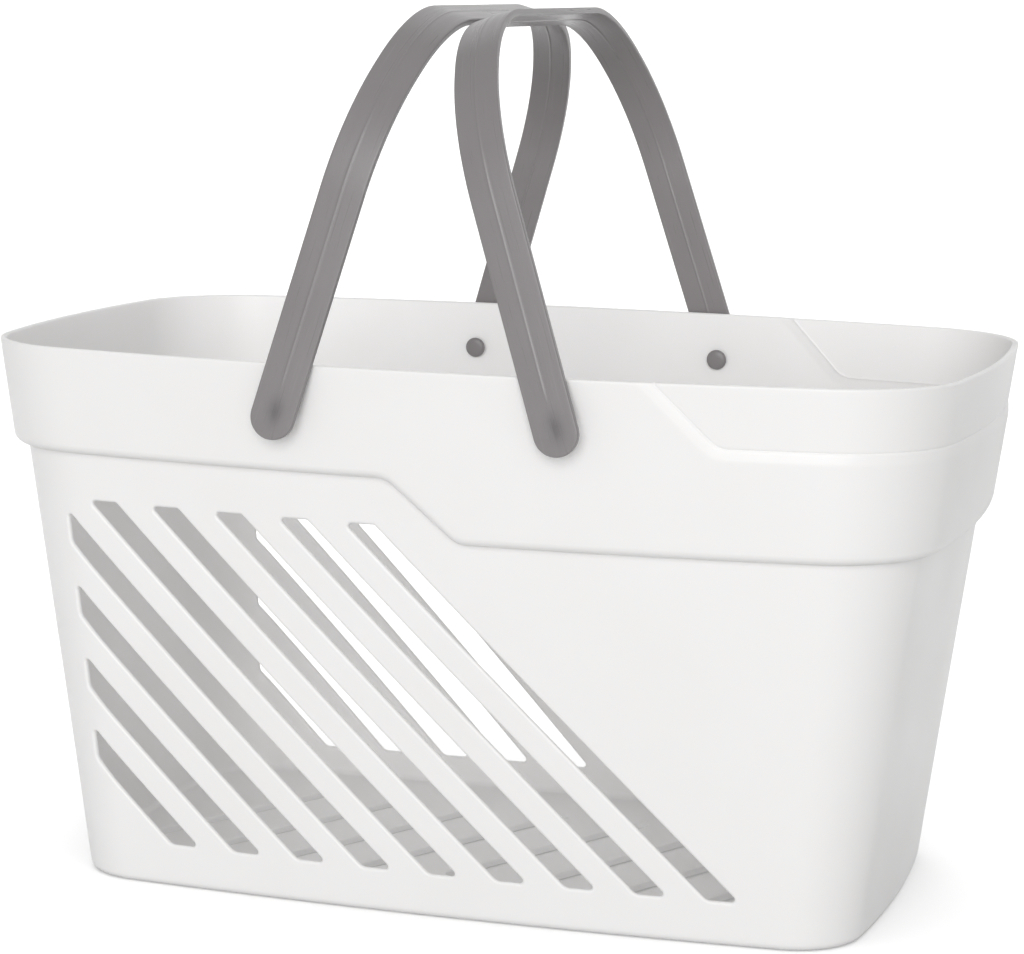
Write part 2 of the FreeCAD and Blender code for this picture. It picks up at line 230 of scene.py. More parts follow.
def inside_loop(points: np.ndarray, loop: list[Flat]) -> np.ndarray:
    """Which points lie inside a closed loop.

    Args:
        points: places, one row each.
        loop: the loop's corners.

    Returns:
        True for each point inside.
    """
    inside = np.zeros(len(points), bool)
    x, y = points[:, 0], points[:, 1]
    for (x0, y0), (x1, y1) in zip(loop, loop[1:] + loop[:1]):
        if y0 == y1:
            continue
        crosses = (y0 > y) != (y1 > y)
        inside ^= crosses & (x < (x1 - x0) * (y - y0) / (y1 - y0) + x0)
    return inside


def triangulate(
    outline: list[Flat], holes: list[list[Flat]], lines: list[list[Flat]], seeds: list[Flat],
    clear: float,
) -> tuple[list[Flat], list[tuple[int, ...]]]:
    """Fills an outline with triangles that keep to its holes and inner lines.

    Args:
        outline: the closed outer loop.
        holes: closed loops that stay empty.
        lines: open lines that triangle edges must follow.
        seeds: inner points, of which the ones near a loop or line are dropped.
        clear: how far a seed stays from loops and lines.

    Returns:
        The points and the triangles' corner numbers.
    """
    fixed: list[Flat] = []
    edges: list[tuple[int, int]] = []
    chains = [(loop, True) for loop in [outline, *holes]] + [(line, False) for line in lines]
    for chain, shut in chains:
        first = len(fixed)
        fixed.extend(chain)
        last = len(fixed) - 1
        edges.extend((i, i + 1) for i in range(first, last))
        if shut:
            edges.append((last, first))
    sink_and_shade_marks = np.array(fixed)
    grid = np.array(seeds)
    keep = inside_loop(grid, outline)
    for hole in holes:
        keep &= ~inside_loop(grid, hole)
    for i in np.nonzero(keep)[0]:
        keep[i] = np.min(np.hypot(sink_and_shade_marks[:, 0] - grid[i, 0], sink_and_shade_marks[:, 1] - grid[i, 1])) > clear
    places = [Vector(p) for p in fixed] + [Vector(p) for p in grid[keep]]
    made = geometry.delaunay_2d_cdt(places, edges, [], 0, CROSSING_MM)
    verts = np.array([tuple(v) for v in made[0]])
    faces = [tuple(f) for f in made[2]]
    middles = np.array([verts[list(f)].mean(axis=0) for f in faces])
    wanted = inside_loop(middles, outline)
    for hole in holes:
        wanted &= ~inside_loop(middles, hole)
    return [tuple(v) for v in verts], [f for f, ok in zip(faces, wanted) if ok]


@dataclass
class MeshWork:
    """Points and faces gathered in millimetres, then made into one smooth object.

    Where runs and the sink marks are filled, they hold a value for each point, in the same order.
    The sink marks both dent a strap and darken it there with painted shade.
    """

    points: list[Place] = field(default_factory=list)
    faces: list[tuple[int, ...]] = field(default_factory=list)
    runs: list[Place] = field(default_factory=list)
    sink_and_shade_marks: list[float] = field(default_factory=list)
    flat_face_weight: int = 60      # how far wide faces decide the normals beside them

    def patch(self, points: list[Place], faces: list[tuple[int, ...]]) -> None:
        """Adds points and the faces between them.

        Args:
            points: the points.
            faces: each face's corners, as numbers in points.
        """
        base = len(self.points)
        self.points.extend(points)
        self.faces.extend(tuple(base + i for i in face) for face in faces)

    def net(self, rows: list[list[Place]], closed: bool = False) -> None:
        """Adds a net of four-sided faces.

        Args:
            rows: rows of points, all of one length.
            closed: whether each row's last point joins its first.
        """
        width = len(rows[0])
        span = width if closed else width - 1
        faces = [
            (
                r * width + c,
                r * width + (c + 1) % width,
                (r + 1) * width + (c + 1) % width,
                (r + 1) * width + c,
            )
            for r in range(len(rows) - 1)
            for c in range(span)
        ]
        self.patch([p for row in rows for p in row], faces)

    def mirror_y(self) -> None:
        """Adds the mirror image of everything so far across the middle plane."""
        self.patch([(x, -y, z) for x, y, z in self.points], [f[::-1] for f in self.faces])

    def make(self, name: str) -> bpy.types.Object:
        """Joins the gathered faces into one closed, smooth mesh.

        Args:
            name: name of the new object.

        Returns:
            The object, linked to the scene.
        """
        mesh = bpy.data.meshes.new(name)
        mesh.from_pydata([tuple(v * MM for v in p) for p in self.points], [], self.faces)
        if self.runs:
            run = mesh.attributes.new("strap_run", "FLOAT_VECTOR", "POINT")
            run.data.foreach_set("vector", [v * MM for p in self.runs for v in p])
        if self.sink_and_shade_marks:
            sink_and_shade_mark = mesh.attributes.new("sink_mark", "FLOAT", "POINT")
            sink_and_shade_mark.data.foreach_set("value", self.sink_and_shade_marks)
        work = bmesh.new()
        work.from_mesh(mesh)
        bmesh.ops.remove_doubles(work, verts=work.verts, dist=MERGE_MM * MM)
        bmesh.ops.dissolve_degenerate(work, edges=work.edges, dist=SLIVER_MM * MM)
        bmesh.ops.recalc_face_normals(work, faces=work.faces)
        loose = sum(1 for e in work.edges if not e.is_manifold)
        work.to_mesh(mesh)
        work.free()
        mesh.polygons.foreach_set("use_smooth", [True] * len(mesh.polygons))
        piece = bpy.data.objects.new(name, mesh)
        bpy.context.scene.collection.objects.link(piece)
        even = piece.modifiers.new("even_normals", "WEIGHTED_NORMAL")
        even.mode = "FACE_AREA"
        even.weight = self.flat_face_weight
        LOG.info("%s: %d faces, %d open edges", name, len(mesh.polygons), loose)
        return piece


def add_node(
    tree: bpy.types.NodeTree, kind: str, settings: dict | None = None, inputs: dict | None = None
) -> bpy.types.Node:
    """Adds one node with its settings, values and links.

    Args:
        tree: the node tree.
        kind: the node's type name.
        settings: attributes to set on the node.
        inputs: values for its sockets, or (node, output) pairs to link.

    Returns:
        The new node.
    """
    made = tree.nodes.new(kind)
    for name, value in (settings or {}).items():
        setattr(made, name, value)
    for name, value in (inputs or {}).items():
        if isinstance(value, tuple) and isinstance(value[0], bpy.types.Node):
            tree.links.new(value[0].outputs[value[1]], made.inputs[name])
        else:
            made.inputs[name].default_value = value
    return made


def linear(hex_colour: str) -> tuple[float, float, float, float]:
    """Turns an sRGB colour to the linear values that a shader takes.

    Args:
        hex_colour: the colour as a hash sign and six hex digits.

    Returns:
        Linear red, green, blue and an alpha of 1.
    """
    parts = [int(hex_colour[i : i + 2], 16) / 255 for i in (1, 3, 5)]
    made = [c / 12.92 if c <= 0.04045 else ((c + 0.055) / 1.055) ** 2.4 for c in parts]
    return (*made, 1.0)


def per_metre(size_mm: float) -> float:
    """Noise scale whose features are about size_mm apart, for coordinates in metres."""
    return 1 / (size_mm * MM)


def blank_material(name: str) -> bpy.types.Material:
    """Makes a material whose node tree is still empty.

    Args:
        name: the material's name.

    Returns:
        The material.
    """
    material = bpy.data.materials.new(name)
    material.use_nodes = True
    material.node_tree.nodes.clear()
    return material


@dataclass(frozen=True)
class MouldedPolypropylene:
    """White polypropylene, injection moulded in a satin tool.

    The satin tool leaves a grain too fine to see one by one, so highlights are broad and soft.
    Melt flow leaves a cloudy change of gloss, and the thin wall lets a little light through.
    """

    tone: str = "#F3F2F2"
    cloud_tone: str = "#EFEEED"
    roughness_low: float = 0.36
    roughness_high: float = 0.46
    grain_mm: float = 0.55          # real grain is nearer 0.05 mm; drawn coarse enough to show
    grain_depth_mm: float = 0.03
    grain_strength: float = 0.10
    cloud_mm: float = 46.0
    wave_mm: float = 30.0
    wave_depth_mm: float = 0.25
    wave_strength: float = 0.12
    ior: float = 1.49
    light_through: float = 0.1
    light_reach_mm: float = 1.6
    light_reach_by_colour: Place = (1.0, 0.92, 0.82)

    def material(self, name: str) -> bpy.types.Material:
        """Builds the node material.

        Args:
            name: the material's name.

        Returns:
            The finished material.
        """
        material = blank_material(name)
        tree = material.node_tree
        place = add_node(tree, "ShaderNodeTexCoord")
        clouds = add_node(
            tree, "ShaderNodeTexNoise", {},
            {"Vector": (place, "Object"), "Scale": per_metre(self.cloud_mm), "Detail": 3.0},
        )
        grain = add_node(
            tree, "ShaderNodeTexNoise", {},
            {"Vector": (place, "Object"), "Scale": per_metre(self.grain_mm), "Detail": 2.0},
        )
        waves = add_node(
            tree, "ShaderNodeTexNoise", {},
            {"Vector": (place, "Object"), "Scale": per_metre(self.wave_mm), "Detail": 1.0},
        )
        tone = add_node(
            tree, "ShaderNodeMix", {"data_type": "RGBA"},
            {
                "Factor": (clouds, "Fac"), FIRST_COLOUR: linear(self.tone),
                SECOND_COLOUR: linear(self.cloud_tone),
            },
        )
        gloss = add_node(
            tree, "ShaderNodeMapRange", {},
            {
                "Value": (clouds, "Fac"), "From Min": 0.3, "From Max": 0.7,
                "To Min": self.roughness_low, "To Max": self.roughness_high,
            },
        )
        shallow = add_node(
            tree, "ShaderNodeBump", {},
            {
                "Height": (waves, "Fac"), "Strength": self.wave_strength,
                "Distance": self.wave_depth_mm * MM,
            },
        )
        fine = add_node(
            tree, "ShaderNodeBump", {},
            {
                "Height": (grain, "Fac"), "Strength": self.grain_strength,
                "Distance": self.grain_depth_mm * MM, "Normal": (shallow, "Normal"),
            },
        )
        shader = add_node(
            tree, "ShaderNodeBsdfPrincipled", {"subsurface_method": "RANDOM_WALK"},
            {
                "Base Color": (tone, MIXED_COLOUR), "Roughness": (gloss, "Result"),
                "Normal": (fine, "Normal"), "IOR": self.ior,
                "Subsurface Weight": self.light_through,
                "Subsurface Radius": self.light_reach_by_colour,
                "Subsurface Scale": self.light_reach_mm * MM,
            },
        )
        add_node(tree, "ShaderNodeOutputMaterial", {}, {"Surface": (shader, "BSDF")})
        return material


@dataclass(frozen=True)
class MouldedPolyethylene:
    """Warm grey low-density polyethylene, injection moulded and flexible.

    Waxy and softer in gloss than the tub. Melt flow draws faint streaks along the strap, and
    handling leaves fine scuffs that run the same way. Painted shade darkens each sink mark's
    dent.
    """

    tone: str = "#878384"
    cloud_tone: str = "#7F7B7C"
    scuff_tone: str = "#989495"
    # The next two values paint shade into the sink mark's dent over each peg.
    sink_shade_tone: str = "#4E4B4D"
    sink_shade_share: float = 0.55
    roughness_low: float = 0.27
    roughness_high: float = 0.40
    cloud_mm: float = 22.0
    streak_mm: float = 0.9
    streak_length_mm: float = 38.0
    streak_depth_mm: float = 0.06
    streak_strength: float = 0.22
    scuff_from: float = 0.62
    scuff_full: float = 0.78
    scuff_share: float = 0.35
    grain_mm: float = 0.45          # drawn coarser than the real tool grain so that it shows
    grain_depth_mm: float = 0.05
    grain_strength: float = 0.55
    ior: float = 1.51

    def material(self, name: str) -> bpy.types.Material:
        """Builds the node material.

        Args:
            name: the material's name.

        Returns:
            The finished material.
        """
        material = blank_material(name)
        tree = material.node_tree
        run = add_node(tree, "ShaderNodeAttribute", {"attribute_name": "strap_run"})
        place = add_node(tree, "ShaderNodeTexCoord")
        stretched = add_node(
            tree, "ShaderNodeVectorMath", {"operation": "MULTIPLY"}, {0: (run, "Vector")}
        )
        across, along = per_metre(self.streak_mm), per_metre(self.streak_length_mm)
        stretched.inputs[1].default_value = (across, along, across)
        streaks = add_node(
            tree, "ShaderNodeTexNoise", {},
            {"Vector": (stretched, "Vector"), "Scale": 1.0, "Detail": 4.0, "Roughness": 0.6},
        )
        clouds = add_node(
            tree, "ShaderNodeTexNoise", {},
            {"Vector": (place, "Object"), "Scale": per_metre(self.cloud_mm), "Detail": 3.0},
        )
        grain = add_node(
            tree, "ShaderNodeTexNoise", {},
            {"Vector": (place, "Object"), "Scale": per_metre(self.grain_mm), "Detail": 2.0},
        )
        scuffs = add_node(
            tree, "ShaderNodeMapRange", {},
            {
                "Value": (streaks, "Fac"), "From Min": self.scuff_from,
                "From Max": self.scuff_full, "To Max": self.scuff_share,
            },
        )
        body = add_node(
            tree, "ShaderNodeMix", {"data_type": "RGBA"},
            {
                "Factor": (clouds, "Fac"), FIRST_COLOUR: linear(self.tone),
                SECOND_COLOUR: linear(self.cloud_tone),
            },
        )
        tone = add_node(
            tree, "ShaderNodeMix", {"data_type": "RGBA"},
            {
                "Factor": (scuffs, "Result"), FIRST_COLOUR: (body, MIXED_COLOUR),
                SECOND_COLOUR: linear(self.scuff_tone),
            },
        )
        # Painted shade: the sink mark's strength darkens the colour in its dent over each peg.
        sink_and_shade_mark = add_node(tree, "ShaderNodeAttribute", {"attribute_name": "sink_mark"})
        depth = add_node(
            tree, "ShaderNodeMapRange", {}, {"Value": (sink_and_shade_mark, "Fac"), "To Max": self.sink_shade_share}
        )
        sink_shaded = add_node(
            tree, "ShaderNodeMix", {"data_type": "RGBA"},
            {
                "Factor": (depth, "Result"), FIRST_COLOUR: (tone, MIXED_COLOUR),
                SECOND_COLOUR: linear(self.sink_shade_tone),
            },
        )
        gloss = add_node(
            tree, "ShaderNodeMapRange", {},
            {
                "Value": (streaks, "Fac"), "From Min": 0.35, "From Max": 0.7,
                "To Min": self.roughness_low, "To Max": self.roughness_high,
            },
        )
        drawn = add_node(
            tree, "ShaderNodeBump", {},
            {
                "Height": (streaks, "Fac"), "Strength": self.streak_strength,
                "Distance": self.streak_depth_mm * MM,
            },
        )
        fine = add_node(
            tree, "ShaderNodeBump", {},
            {
                "Height": (grain, "Fac"), "Strength": self.grain_strength,
                "Distance": self.grain_depth_mm * MM, "Normal": (drawn, "Normal"),
            },
        )
        shader = add_node(
            tree, "ShaderNodeBsdfPrincipled", {},
            {
                "Base Color": (sink_shaded, MIXED_COLOUR), "Roughness": (gloss, "Result"),
                "Normal": (fine, "Normal"), "IOR": self.ior,
            },
        )
        add_node(tree, "ShaderNodeOutputMaterial", {}, {"Surface": (shader, "BSDF")})
        return material


@dataclass(frozen=True)
class PlanForm:
    """The tub's outline at any height: bowed sides and ends with round corners between.

    A station is a place on the front half of the outline: 0 at the middle of the front, 1 where
    the long side meets a corner, 2 where the corner meets the end, 3 at the middle of the end,
    and negative on the left.
    """

    height: float
    foot_length: float = 279.9
    foot_width: float = 152.5
    rim_length: float = 331.2
    rim_width: float = 202.4
    foot_corner_radius: float = 24.3
    rim_corner_radius: float = 38.6
    foot_side_bow: float = 6.1
    rim_side_bow: float = 18.0
    foot_end_bow: float = 5.5
    rim_end_bow: float = 11.0
    level: float = 100.0            # height at which runs along the outline are measured

    @functools.lru_cache(maxsize=None)
    def circles(self, z: float) -> tuple[float, ...]:
        """Radii and centres of the outline's arcs, and the two angles where they meet.

        Args:
            z: height.

        Returns:
            Side radius and centre y, end radius and centre x, corner radius and centre x and
            y, and the angles from the front at which the corner starts and ends.
        """
        share = z / self.height
        half_x = (self.foot_length + (self.rim_length - self.foot_length) * share) / 2
        half_y = (self.foot_width + (self.rim_width - self.foot_width) * share) / 2
        side_bow = self.foot_side_bow + (self.rim_side_bow - self.foot_side_bow) * share
        end_bow = self.foot_end_bow + (self.rim_end_bow - self.foot_end_bow) * share
        corner_span = self.rim_corner_radius - self.foot_corner_radius
        corner = self.foot_corner_radius + corner_span * share
        side = (half_x**2 + side_bow**2) / (2 * side_bow)
        end = (half_y**2 + end_bow**2) / (2 * end_bow)
        side_y, end_x = half_y - side, half_x - end
        apart = math.hypot(end_x, side_y)
        along = ((side - corner) ** 2 - (end - corner) ** 2 + apart**2) / (2 * apart)
        across = math.sqrt((side - corner) ** 2 - along**2)
        unit_x, unit_y = end_x / apart, -side_y / apart
        corner_x = unit_x * along + unit_y * across
        corner_y = side_y + unit_y * along - unit_x * across
        starts = math.atan2(corner_x, corner_y - side_y)
        ends = math.atan2(corner_x - end_x, corner_y)
        return side, side_y, end, end_x, corner, corner_x, corner_y, starts, ends

    def place(self, station: float, z: float, out: float) -> Place:
        """A point of the wall's face.

        Args:
            station: where along the front half of the outline.
            z: height.
            out: how far the point stands out from the lower body's face.

        Returns:
            The point.
        """
        side, side_y, end, end_x, corner, corner_x, corner_y, starts, ends = self.circles(z)
        share = abs(station)
        if share <= 1:
            angle, radius, centre = share * starts, side, (0.0, side_y)
        elif share <= 2:
            angle = starts + (share - 1) * (ends - starts)
            radius, centre = corner, (corner_x, corner_y)
        else:
            angle = ends + (share - 2) * (QUARTER_TURN - ends)
            radius, centre = end, (end_x, 0.0)
        x = centre[0] + (radius + out) * math.sin(angle)
        y = centre[1] + (radius + out) * math.cos(angle)
        return (math.copysign(x, station), -y, z)

    def station(self, x: float, z: float, out: float = 0.0) -> float:
        """The station of the front wall's point at x.

        Args:
            x: the point's x.
            z: height.
            out: how far the point stands out from the lower body's face.

        Returns:
            The station.
        """
        side, _, _, _, corner, corner_x, _, starts, ends = self.circles(z)
        reach = abs(x)
        if reach <= (side + out) * math.sin(starts):
            return math.copysign(math.asin(reach / (side + out)) / starts, x)
        angle = math.asin((reach - corner_x) / (corner + out))
        return math.copysign(1 + (angle - starts) / (ends - starts), x)

    def stretches(self) -> Flat:
        """Lengths of the half side and of a corner, at the measuring level."""
        side, _, _, _, corner, _, _, starts, ends = self.circles(self.level)
        return side * starts, corner * (ends - starts)

    def end_stretch(self) -> float:
        """Length of the half end, at the measuring level."""
        _, _, end, _, _, _, _, _, ends = self.circles(self.level)
        return end * (QUARTER_TURN - ends)

    def run(self, station: float) -> float:
        """Distance along the outline from the middle of the front.

        Args:
            station: where along the front half of the outline.

        Returns:
            The distance at the measuring level, negative on the left.
        """
        half_side, corner = self.stretches()
        share = abs(station)
        length = min(share, 1) * half_side
        length += min(max(share - 1, 0), 1) * corner
        length += max(share - 2, 0) * self.end_stretch()
        return math.copysign(length, station)

    def at_run(self, run: float) -> float:
        """The station at a distance along the outline from the middle of the front.

        Args:
            run: the distance, negative on the left.

        Returns:
            The station.
        """
        half_side, corner = self.stretches()
        length = abs(run)
        if length <= half_side:
            share = length / half_side
        elif length <= half_side + corner:
            share = 1 + (length - half_side) / corner
        else:
            share = 2 + (length - half_side - corner) / self.end_stretch()
        return math.copysign(share, run)

    def on_wall(self, spot: Flat, out: float) -> Place:
        """The place on the wall at (run, height), standing out by out."""
        return self.place(self.at_run(spot[0]), spot[1], out)

    def spot(self, x: float, z: float, out: float = 0.0) -> Flat:
        """The (run, height) of the front wall's point at x and z."""
        return (self.run(self.station(x, z, out)), z)


@dataclass
class Tub:
    """The moulded tub: slotted walls, stepped collar, set-back panel, floor and foot rim."""

    wall: float = 2.2
    foot_edge_radius: float = 2.6
    # Floor
    floor_underside: float = 2.8
    floor_thickness: float = 2.4
    floor_cove_radius: float = 2.4
    drain_count: int = 8
    drain_pitch: float = 30.8
    drain_width: float = 6.0
    drain_span: float = 88.0
    drain_angle: float = 62.0
    drain_edge_radius: float = 0.6
    drain_side_parts: int = 5
    foot_ring_width: float = 4.4    # two thicknesses of the wall
    foot_ring_soft: float = 0.4
    foot_ring_half_soft: float = 0.12
    foot_ring_root: float = 0.3
    # Collar
    collar_proud: float = 4.4
    collar_low_left: float = 151.3
    collar_low_right: float = 130.7
    collar_step_x: float = -12.0
    collar_step_angle: float = 42.0
    collar_step_radius: float = 9.0
    collar_edge_radius: float = 3.0
    collar_root_radius: float = 0.5
    rim_edge_radius: float = 0.8
    # Set-back panel
    panel_set_back: float = 0.8
    panel_low: float = 167.2
    panel_step_x: float = 96.0
    panel_step_radius: float = 9.0
    panel_slope: float = 4.0
    panel_slope_ease: float = 0.7
    panel_crease_ease: float = 0.15
    crease_width: float = 0.32
    crease_share: float = 0.42
    crease_bands: tuple[float, ...] = (-3, -1, -0.4, 0.3, 1, 1.8, 2.6, 4.5)
    # Slots
    slot_count: int = 9
    slot_pitch: float = 23.65
    slot_span: float = 10.7
    slot_field_top: float = 135.0
    slot_field_bottom: float = 15.3
    slot_field_left_top: float = -132.4
    slot_field_left_bottom: float = -124.0
    slot_last_x: float = -17.8
    slot_blunt_radius: float = 3.5
    slot_shoulder_radius: float = 1.2
    slot_sharp_radius: float = 1.1
    slot_edge_radius: float = 0.95
    slot_border: float = 0.9
    slot_corner_step: float = 0.7
    # Pivot pads
    peg_hole_radius: float = 2.88
    pad_radius: float = 5.6
    pad_proud: float = 1.1
    pad_edge_radius: float = 0.3
    hole_edge_radius: float = 0.25
    hole_edge: tuple[Flat, ...] = ((0.9, 0.0), (0.25, 0.0), (0.07, 0.08), (0.0, 0.25))
    # How finely faces are drawn
    patch_edge_station: float = 1.45
    coarse: float = 5.0
    fine: float = 2.2
    panel_step: float = 3.0
    panel_top_step: float = 4.0
    floor_step: float = 6.0
    foot_step: float = 2.5
    circle_sides: int = 48
    body_clear: float = 2.0
    collar_clear: float = 1.2
    floor_clear: float = 2.5
    line_clear: float = 0.8
    name: str = "tub_shell"

    def __post_init__(self) -> None:
        """Takes the tub's height and the pivots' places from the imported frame."""
        _, high = box_mm("tub")
        self.form = PlanForm(height=round(high[2], 1))
        self.edge_run = self.form.run(self.patch_edge_station)
        self.work = MeshWork()
        self.pivots = [pivot_mm("left_handle_swing"), pivot_mm("right_handle_swing")]

    def set_back(self, spot: Flat) -> float:
        """How far the collar's face is set back at (run, height)."""
        return self.panel_set_back * self.panel_share(self.from_panel(spot))

    def panel_share(self, away: float) -> float:
        """Share of the full set-back near the panel's crease.

        Args:
            away: distance outside the crease, negative inside the panel.

        Returns:
            The share: 1 inside, 0 beyond the slope, and more than 1 in the crease's valley.
        """
        slope = eased(self.panel_slope - away, self.panel_slope_ease)
        rise = slope - eased(-away, self.panel_crease_ease)
        valley = math.exp(-(((away - self.crease_width) / self.crease_width) ** 2))
        return rise / self.panel_slope + self.crease_share * valley

    def from_panel(self, spot: Flat) -> float:
        """Distance from the panel's crease, whose step slopes at 45 degrees.

        Args:
            spot: the (run, height) of a place on the collar.

        Returns:
            The distance, negative inside the panel.
        """
        corner_run = self.form.run(self.form.station(self.panel_step_x, self.panel_low))
        run, z = spot[0] - corner_run, spot[1] - self.panel_low
        below = -z
        beside = -(run + z) * math.sqrt(0.5)
        radius = self.panel_step_radius
        centre_run = radius * math.tan(math.pi / 8)
        to_centre = (run - centre_run, z - radius)
        angle = math.degrees(math.atan2(to_centre[1], to_centre[0]))
        if -135 <= angle <= -90:
            return math.hypot(*to_centre) - radius
        return max(below, beside)

    def face(self, spot: Flat, out: float) -> Place:
        """A place on the collar's face or inside it, with the panel's set-back taken off."""
        return self.form.on_wall(spot, out - self.set_back(spot))

    def panel_lines(self, top: float) -> list[list[Flat]]:
        """Lines along the panel's crease and slope, from the rim to the patch's right edge.

        Args:
            top: height at which the lines start.

        Returns:
            One line for each distance from the crease.
        """
        corner_run = self.form.run(self.form.station(self.panel_step_x, self.panel_low))
        above = self.form.height - self.panel_low + 4 * self.panel_slope    # past the rim
        corners = [
            (corner_run - above, self.panel_low + above),
            (corner_run, self.panel_low),
            (self.edge_run, self.panel_low),
        ]
        path = rounded_path(corners, [0, self.panel_step_radius, 0], self.panel_step, False)
        lines = []
        for away in self.panel_bands():
            spots = [p.off(-away) for p in path]
            spots[-1] = (self.edge_run, spots[-1][1])
            first = next(i for i, s in enumerate(spots) if s[1] < top - 0.5)
            above_spot, below_spot = spots[first - 1], spots[first]
            share = (above_spot[1] - top) / (above_spot[1] - below_spot[1])
            run = above_spot[0] + (below_spot[0] - above_spot[0]) * share
            lines.append([(run, top)] + spots[first:])
        return lines

    def panel_bands(self) -> list[float]:
        """Distances from the crease that the mesh follows.

        Returns:
            The distances: those over the crease's valley, then those over the slope's edge.
        """
        slope, ease = self.panel_slope, self.panel_slope_ease
        crease = [share * self.crease_width for share in self.crease_bands]
        return crease + [slope - ease, slope, slope + ease]

    def step_path(self) -> list[EdgePoint]:
        """The collar's lower edge across the front.

        Returns:
            Its points from left to right.
        """
        slope = math.radians(self.collar_step_angle)
        drop = self.collar_low_left - self.collar_low_right
        corners = [
            (-self.edge_run, self.collar_low_left),
            (self.collar_step_x, self.collar_low_left),
            (self.collar_step_x + drop / math.tan(slope), self.collar_low_right),
            (self.edge_run, self.collar_low_right),
        ]
        radii = [0, self.collar_step_radius, self.collar_step_radius, 0]
        return rounded_path(corners, radii, self.coarse, False)

    def end_runs(self, end: End) -> list[float]:
        """Runs along half an end.

        Args:
            end: which end.

        Returns:
            The runs, from the patch's edge to the middle of the end.
        """
        corner = spread(self.patch_edge_station, 2, 0.05)
        flat = spread(2, 3, 0.1)[1:]
        return [self.form.run(s) * end.value for s in corner + flat]

    def around(self, front: list[EdgePoint], left_z: float, right_z: float) -> list[EdgePoint]:
        """A line round the front half of the tub.

        Args:
            front: its points across the front, from left to right.
            left_z: its height round the left end.
            right_z: its height round the right end.

        Returns:
            The whole line, from the middle of the left end to the middle of the right end.
        """
        left = [EdgePoint(r, left_z, 0, 1) for r in self.end_runs(End.LEFT)[1:]]
        right = [EdgePoint(r, right_z, 0, 1) for r in self.end_runs(End.RIGHT)[1:]]
        return left[::-1] + front + right

    def slot_outlines(self) -> list[list[EdgePoint]]:
        """Each slot's outline, where it meets the wall's edge face.

        Returns:
            The outlines in X and height, with left pointing into the wall.
        """
        outlines = []
        top, bottom = self.slot_field_top, self.slot_field_bottom
        fall = top - bottom
        lean = (self.slot_field_left_top - self.slot_field_left_bottom) / fall
        for i in range(self.slot_count):
            upper = self.slot_last_x - i * self.slot_pitch
            lower = upper - self.slot_span
            corners = [(upper + fall, bottom), (lower + fall, bottom)]
            radii = [self.slot_sharp_radius, self.slot_blunt_radius]
            if lower >= self.slot_field_left_top:
                corners += [(lower, top), (upper, top)]
                radii += [self.slot_sharp_radius, self.slot_shoulder_radius]
            else:
                for edge in (lower, upper):
                    down = (self.slot_field_left_top - edge) / (1 + lean)
                    corners.append((edge + down, top - down))
                radii += [self.slot_blunt_radius, self.slot_sharp_radius]
            outlines.append(
                rounded_path(corners, radii, self.coarse, True, self.slot_corner_step)
            )
        return outlines

    def seeds(self, low: float, high: float) -> list[Flat]:
        """Inner points for a patch of the front wall.

        Args:
            low: the patch's lowest height.
            high: its highest height.

        Returns:
            The points as (run, height).
        """
        half_side, _ = self.form.stretches()
        runs = spread(-half_side, half_side, self.coarse)
        corner = spread(half_side, self.edge_run, self.fine)[1:-1]
        runs += corner + [-r for r in corner]
        return [(r, z) for r in runs for z in spread(low, high, self.coarse)]

    def build_body(self) -> None:
        """Walls below the collar: both skins, the slots' edges, and the ends."""
        form, radius = self.form, self.slot_edge_radius
        low = self.floor_underside + self.floor_thickness + self.floor_cove_radius
        root = -self.collar_root_radius
        step = self.step_path()
        top_line = [p.off(root) for p in step]
        left_rows = spread(low, top_line[0][1], self.coarse)
        right_rows = spread(low, top_line[-1][1], self.coarse)
        outline = (
            [(r, low) for r in self.wall_runs()]
            + [(self.edge_run, z) for z in right_rows[1:-1]]
            + top_line[::-1]
            + [(-self.edge_run, z) for z in left_rows[-2:0:-1]]
        )
        slots = self.slot_outlines()
        rings = [[form.spot(*p.off(radius)) for p in slot] for slot in slots]
        border = radius + self.slot_border
        borders = [[form.spot(*p.off(border)) for p in slot] for slot in slots]
        loops = [ring + ring[:1] for ring in borders]
        highest = max(z for _, z in top_line)
        seeds = self.seeds(low, highest)
        spots, faces = triangulate(outline, rings, loops, seeds, self.body_clear)
        for out in (0.0, -self.wall):
            self.work.patch([form.on_wall(s, out) for s in spots], faces)
            for end, rows in ((End.LEFT, left_rows), (End.RIGHT, right_rows)):
                runs = self.end_runs(end)
                self.work.net([[form.on_wall((r, z), out) for r in runs] for z in rows])
        edge = rounding(radius)
        section = [(g, -d) for g, d in edge] + [(g, d - self.wall) for g, d in edge[::-1]]
        for slot in slots:
            rows = [[form.on_wall(form.spot(*p.off(g)), out) for p in slot] for g, out in section]
            self.work.net(rows, closed=True)

    def wall_runs(self) -> list[float]:
        """Runs across the front wall.

        Returns:
            The runs from left to right, closer together round the corners.
        """
        half_side, _ = self.form.stretches()
        corner = spread(half_side, self.edge_run, self.fine)[1:]
        flat = spread(-half_side, half_side, self.coarse)
        return [-r for r in corner[::-1]] + flat + corner

    def build_collar_edge(self) -> None:
        """The collar's lower edge outside, and the rounded ledge that it leaves inside."""
        proud, root, edge = self.collar_proud, self.collar_root_radius, self.collar_edge_radius
        line = self.around(self.step_path(), self.collar_low_left, self.collar_low_right)
        quarter = spread(0, QUARTER_TURN, QUARTER_TURN / 6)
        for thick in (0.0, self.wall):
            reach = root + thick
            section = [(reach * math.sin(t) - root, root - reach * math.cos(t)) for t in quarter]
            section += [
                (edge - (edge - thick) * math.cos(t), proud - edge + (edge - thick) * math.sin(t))
                for t in quarter
            ]
            rows = [[self.form.on_wall(p.off(g), out) for p in line] for g, out in section]
            self.work.net(rows)

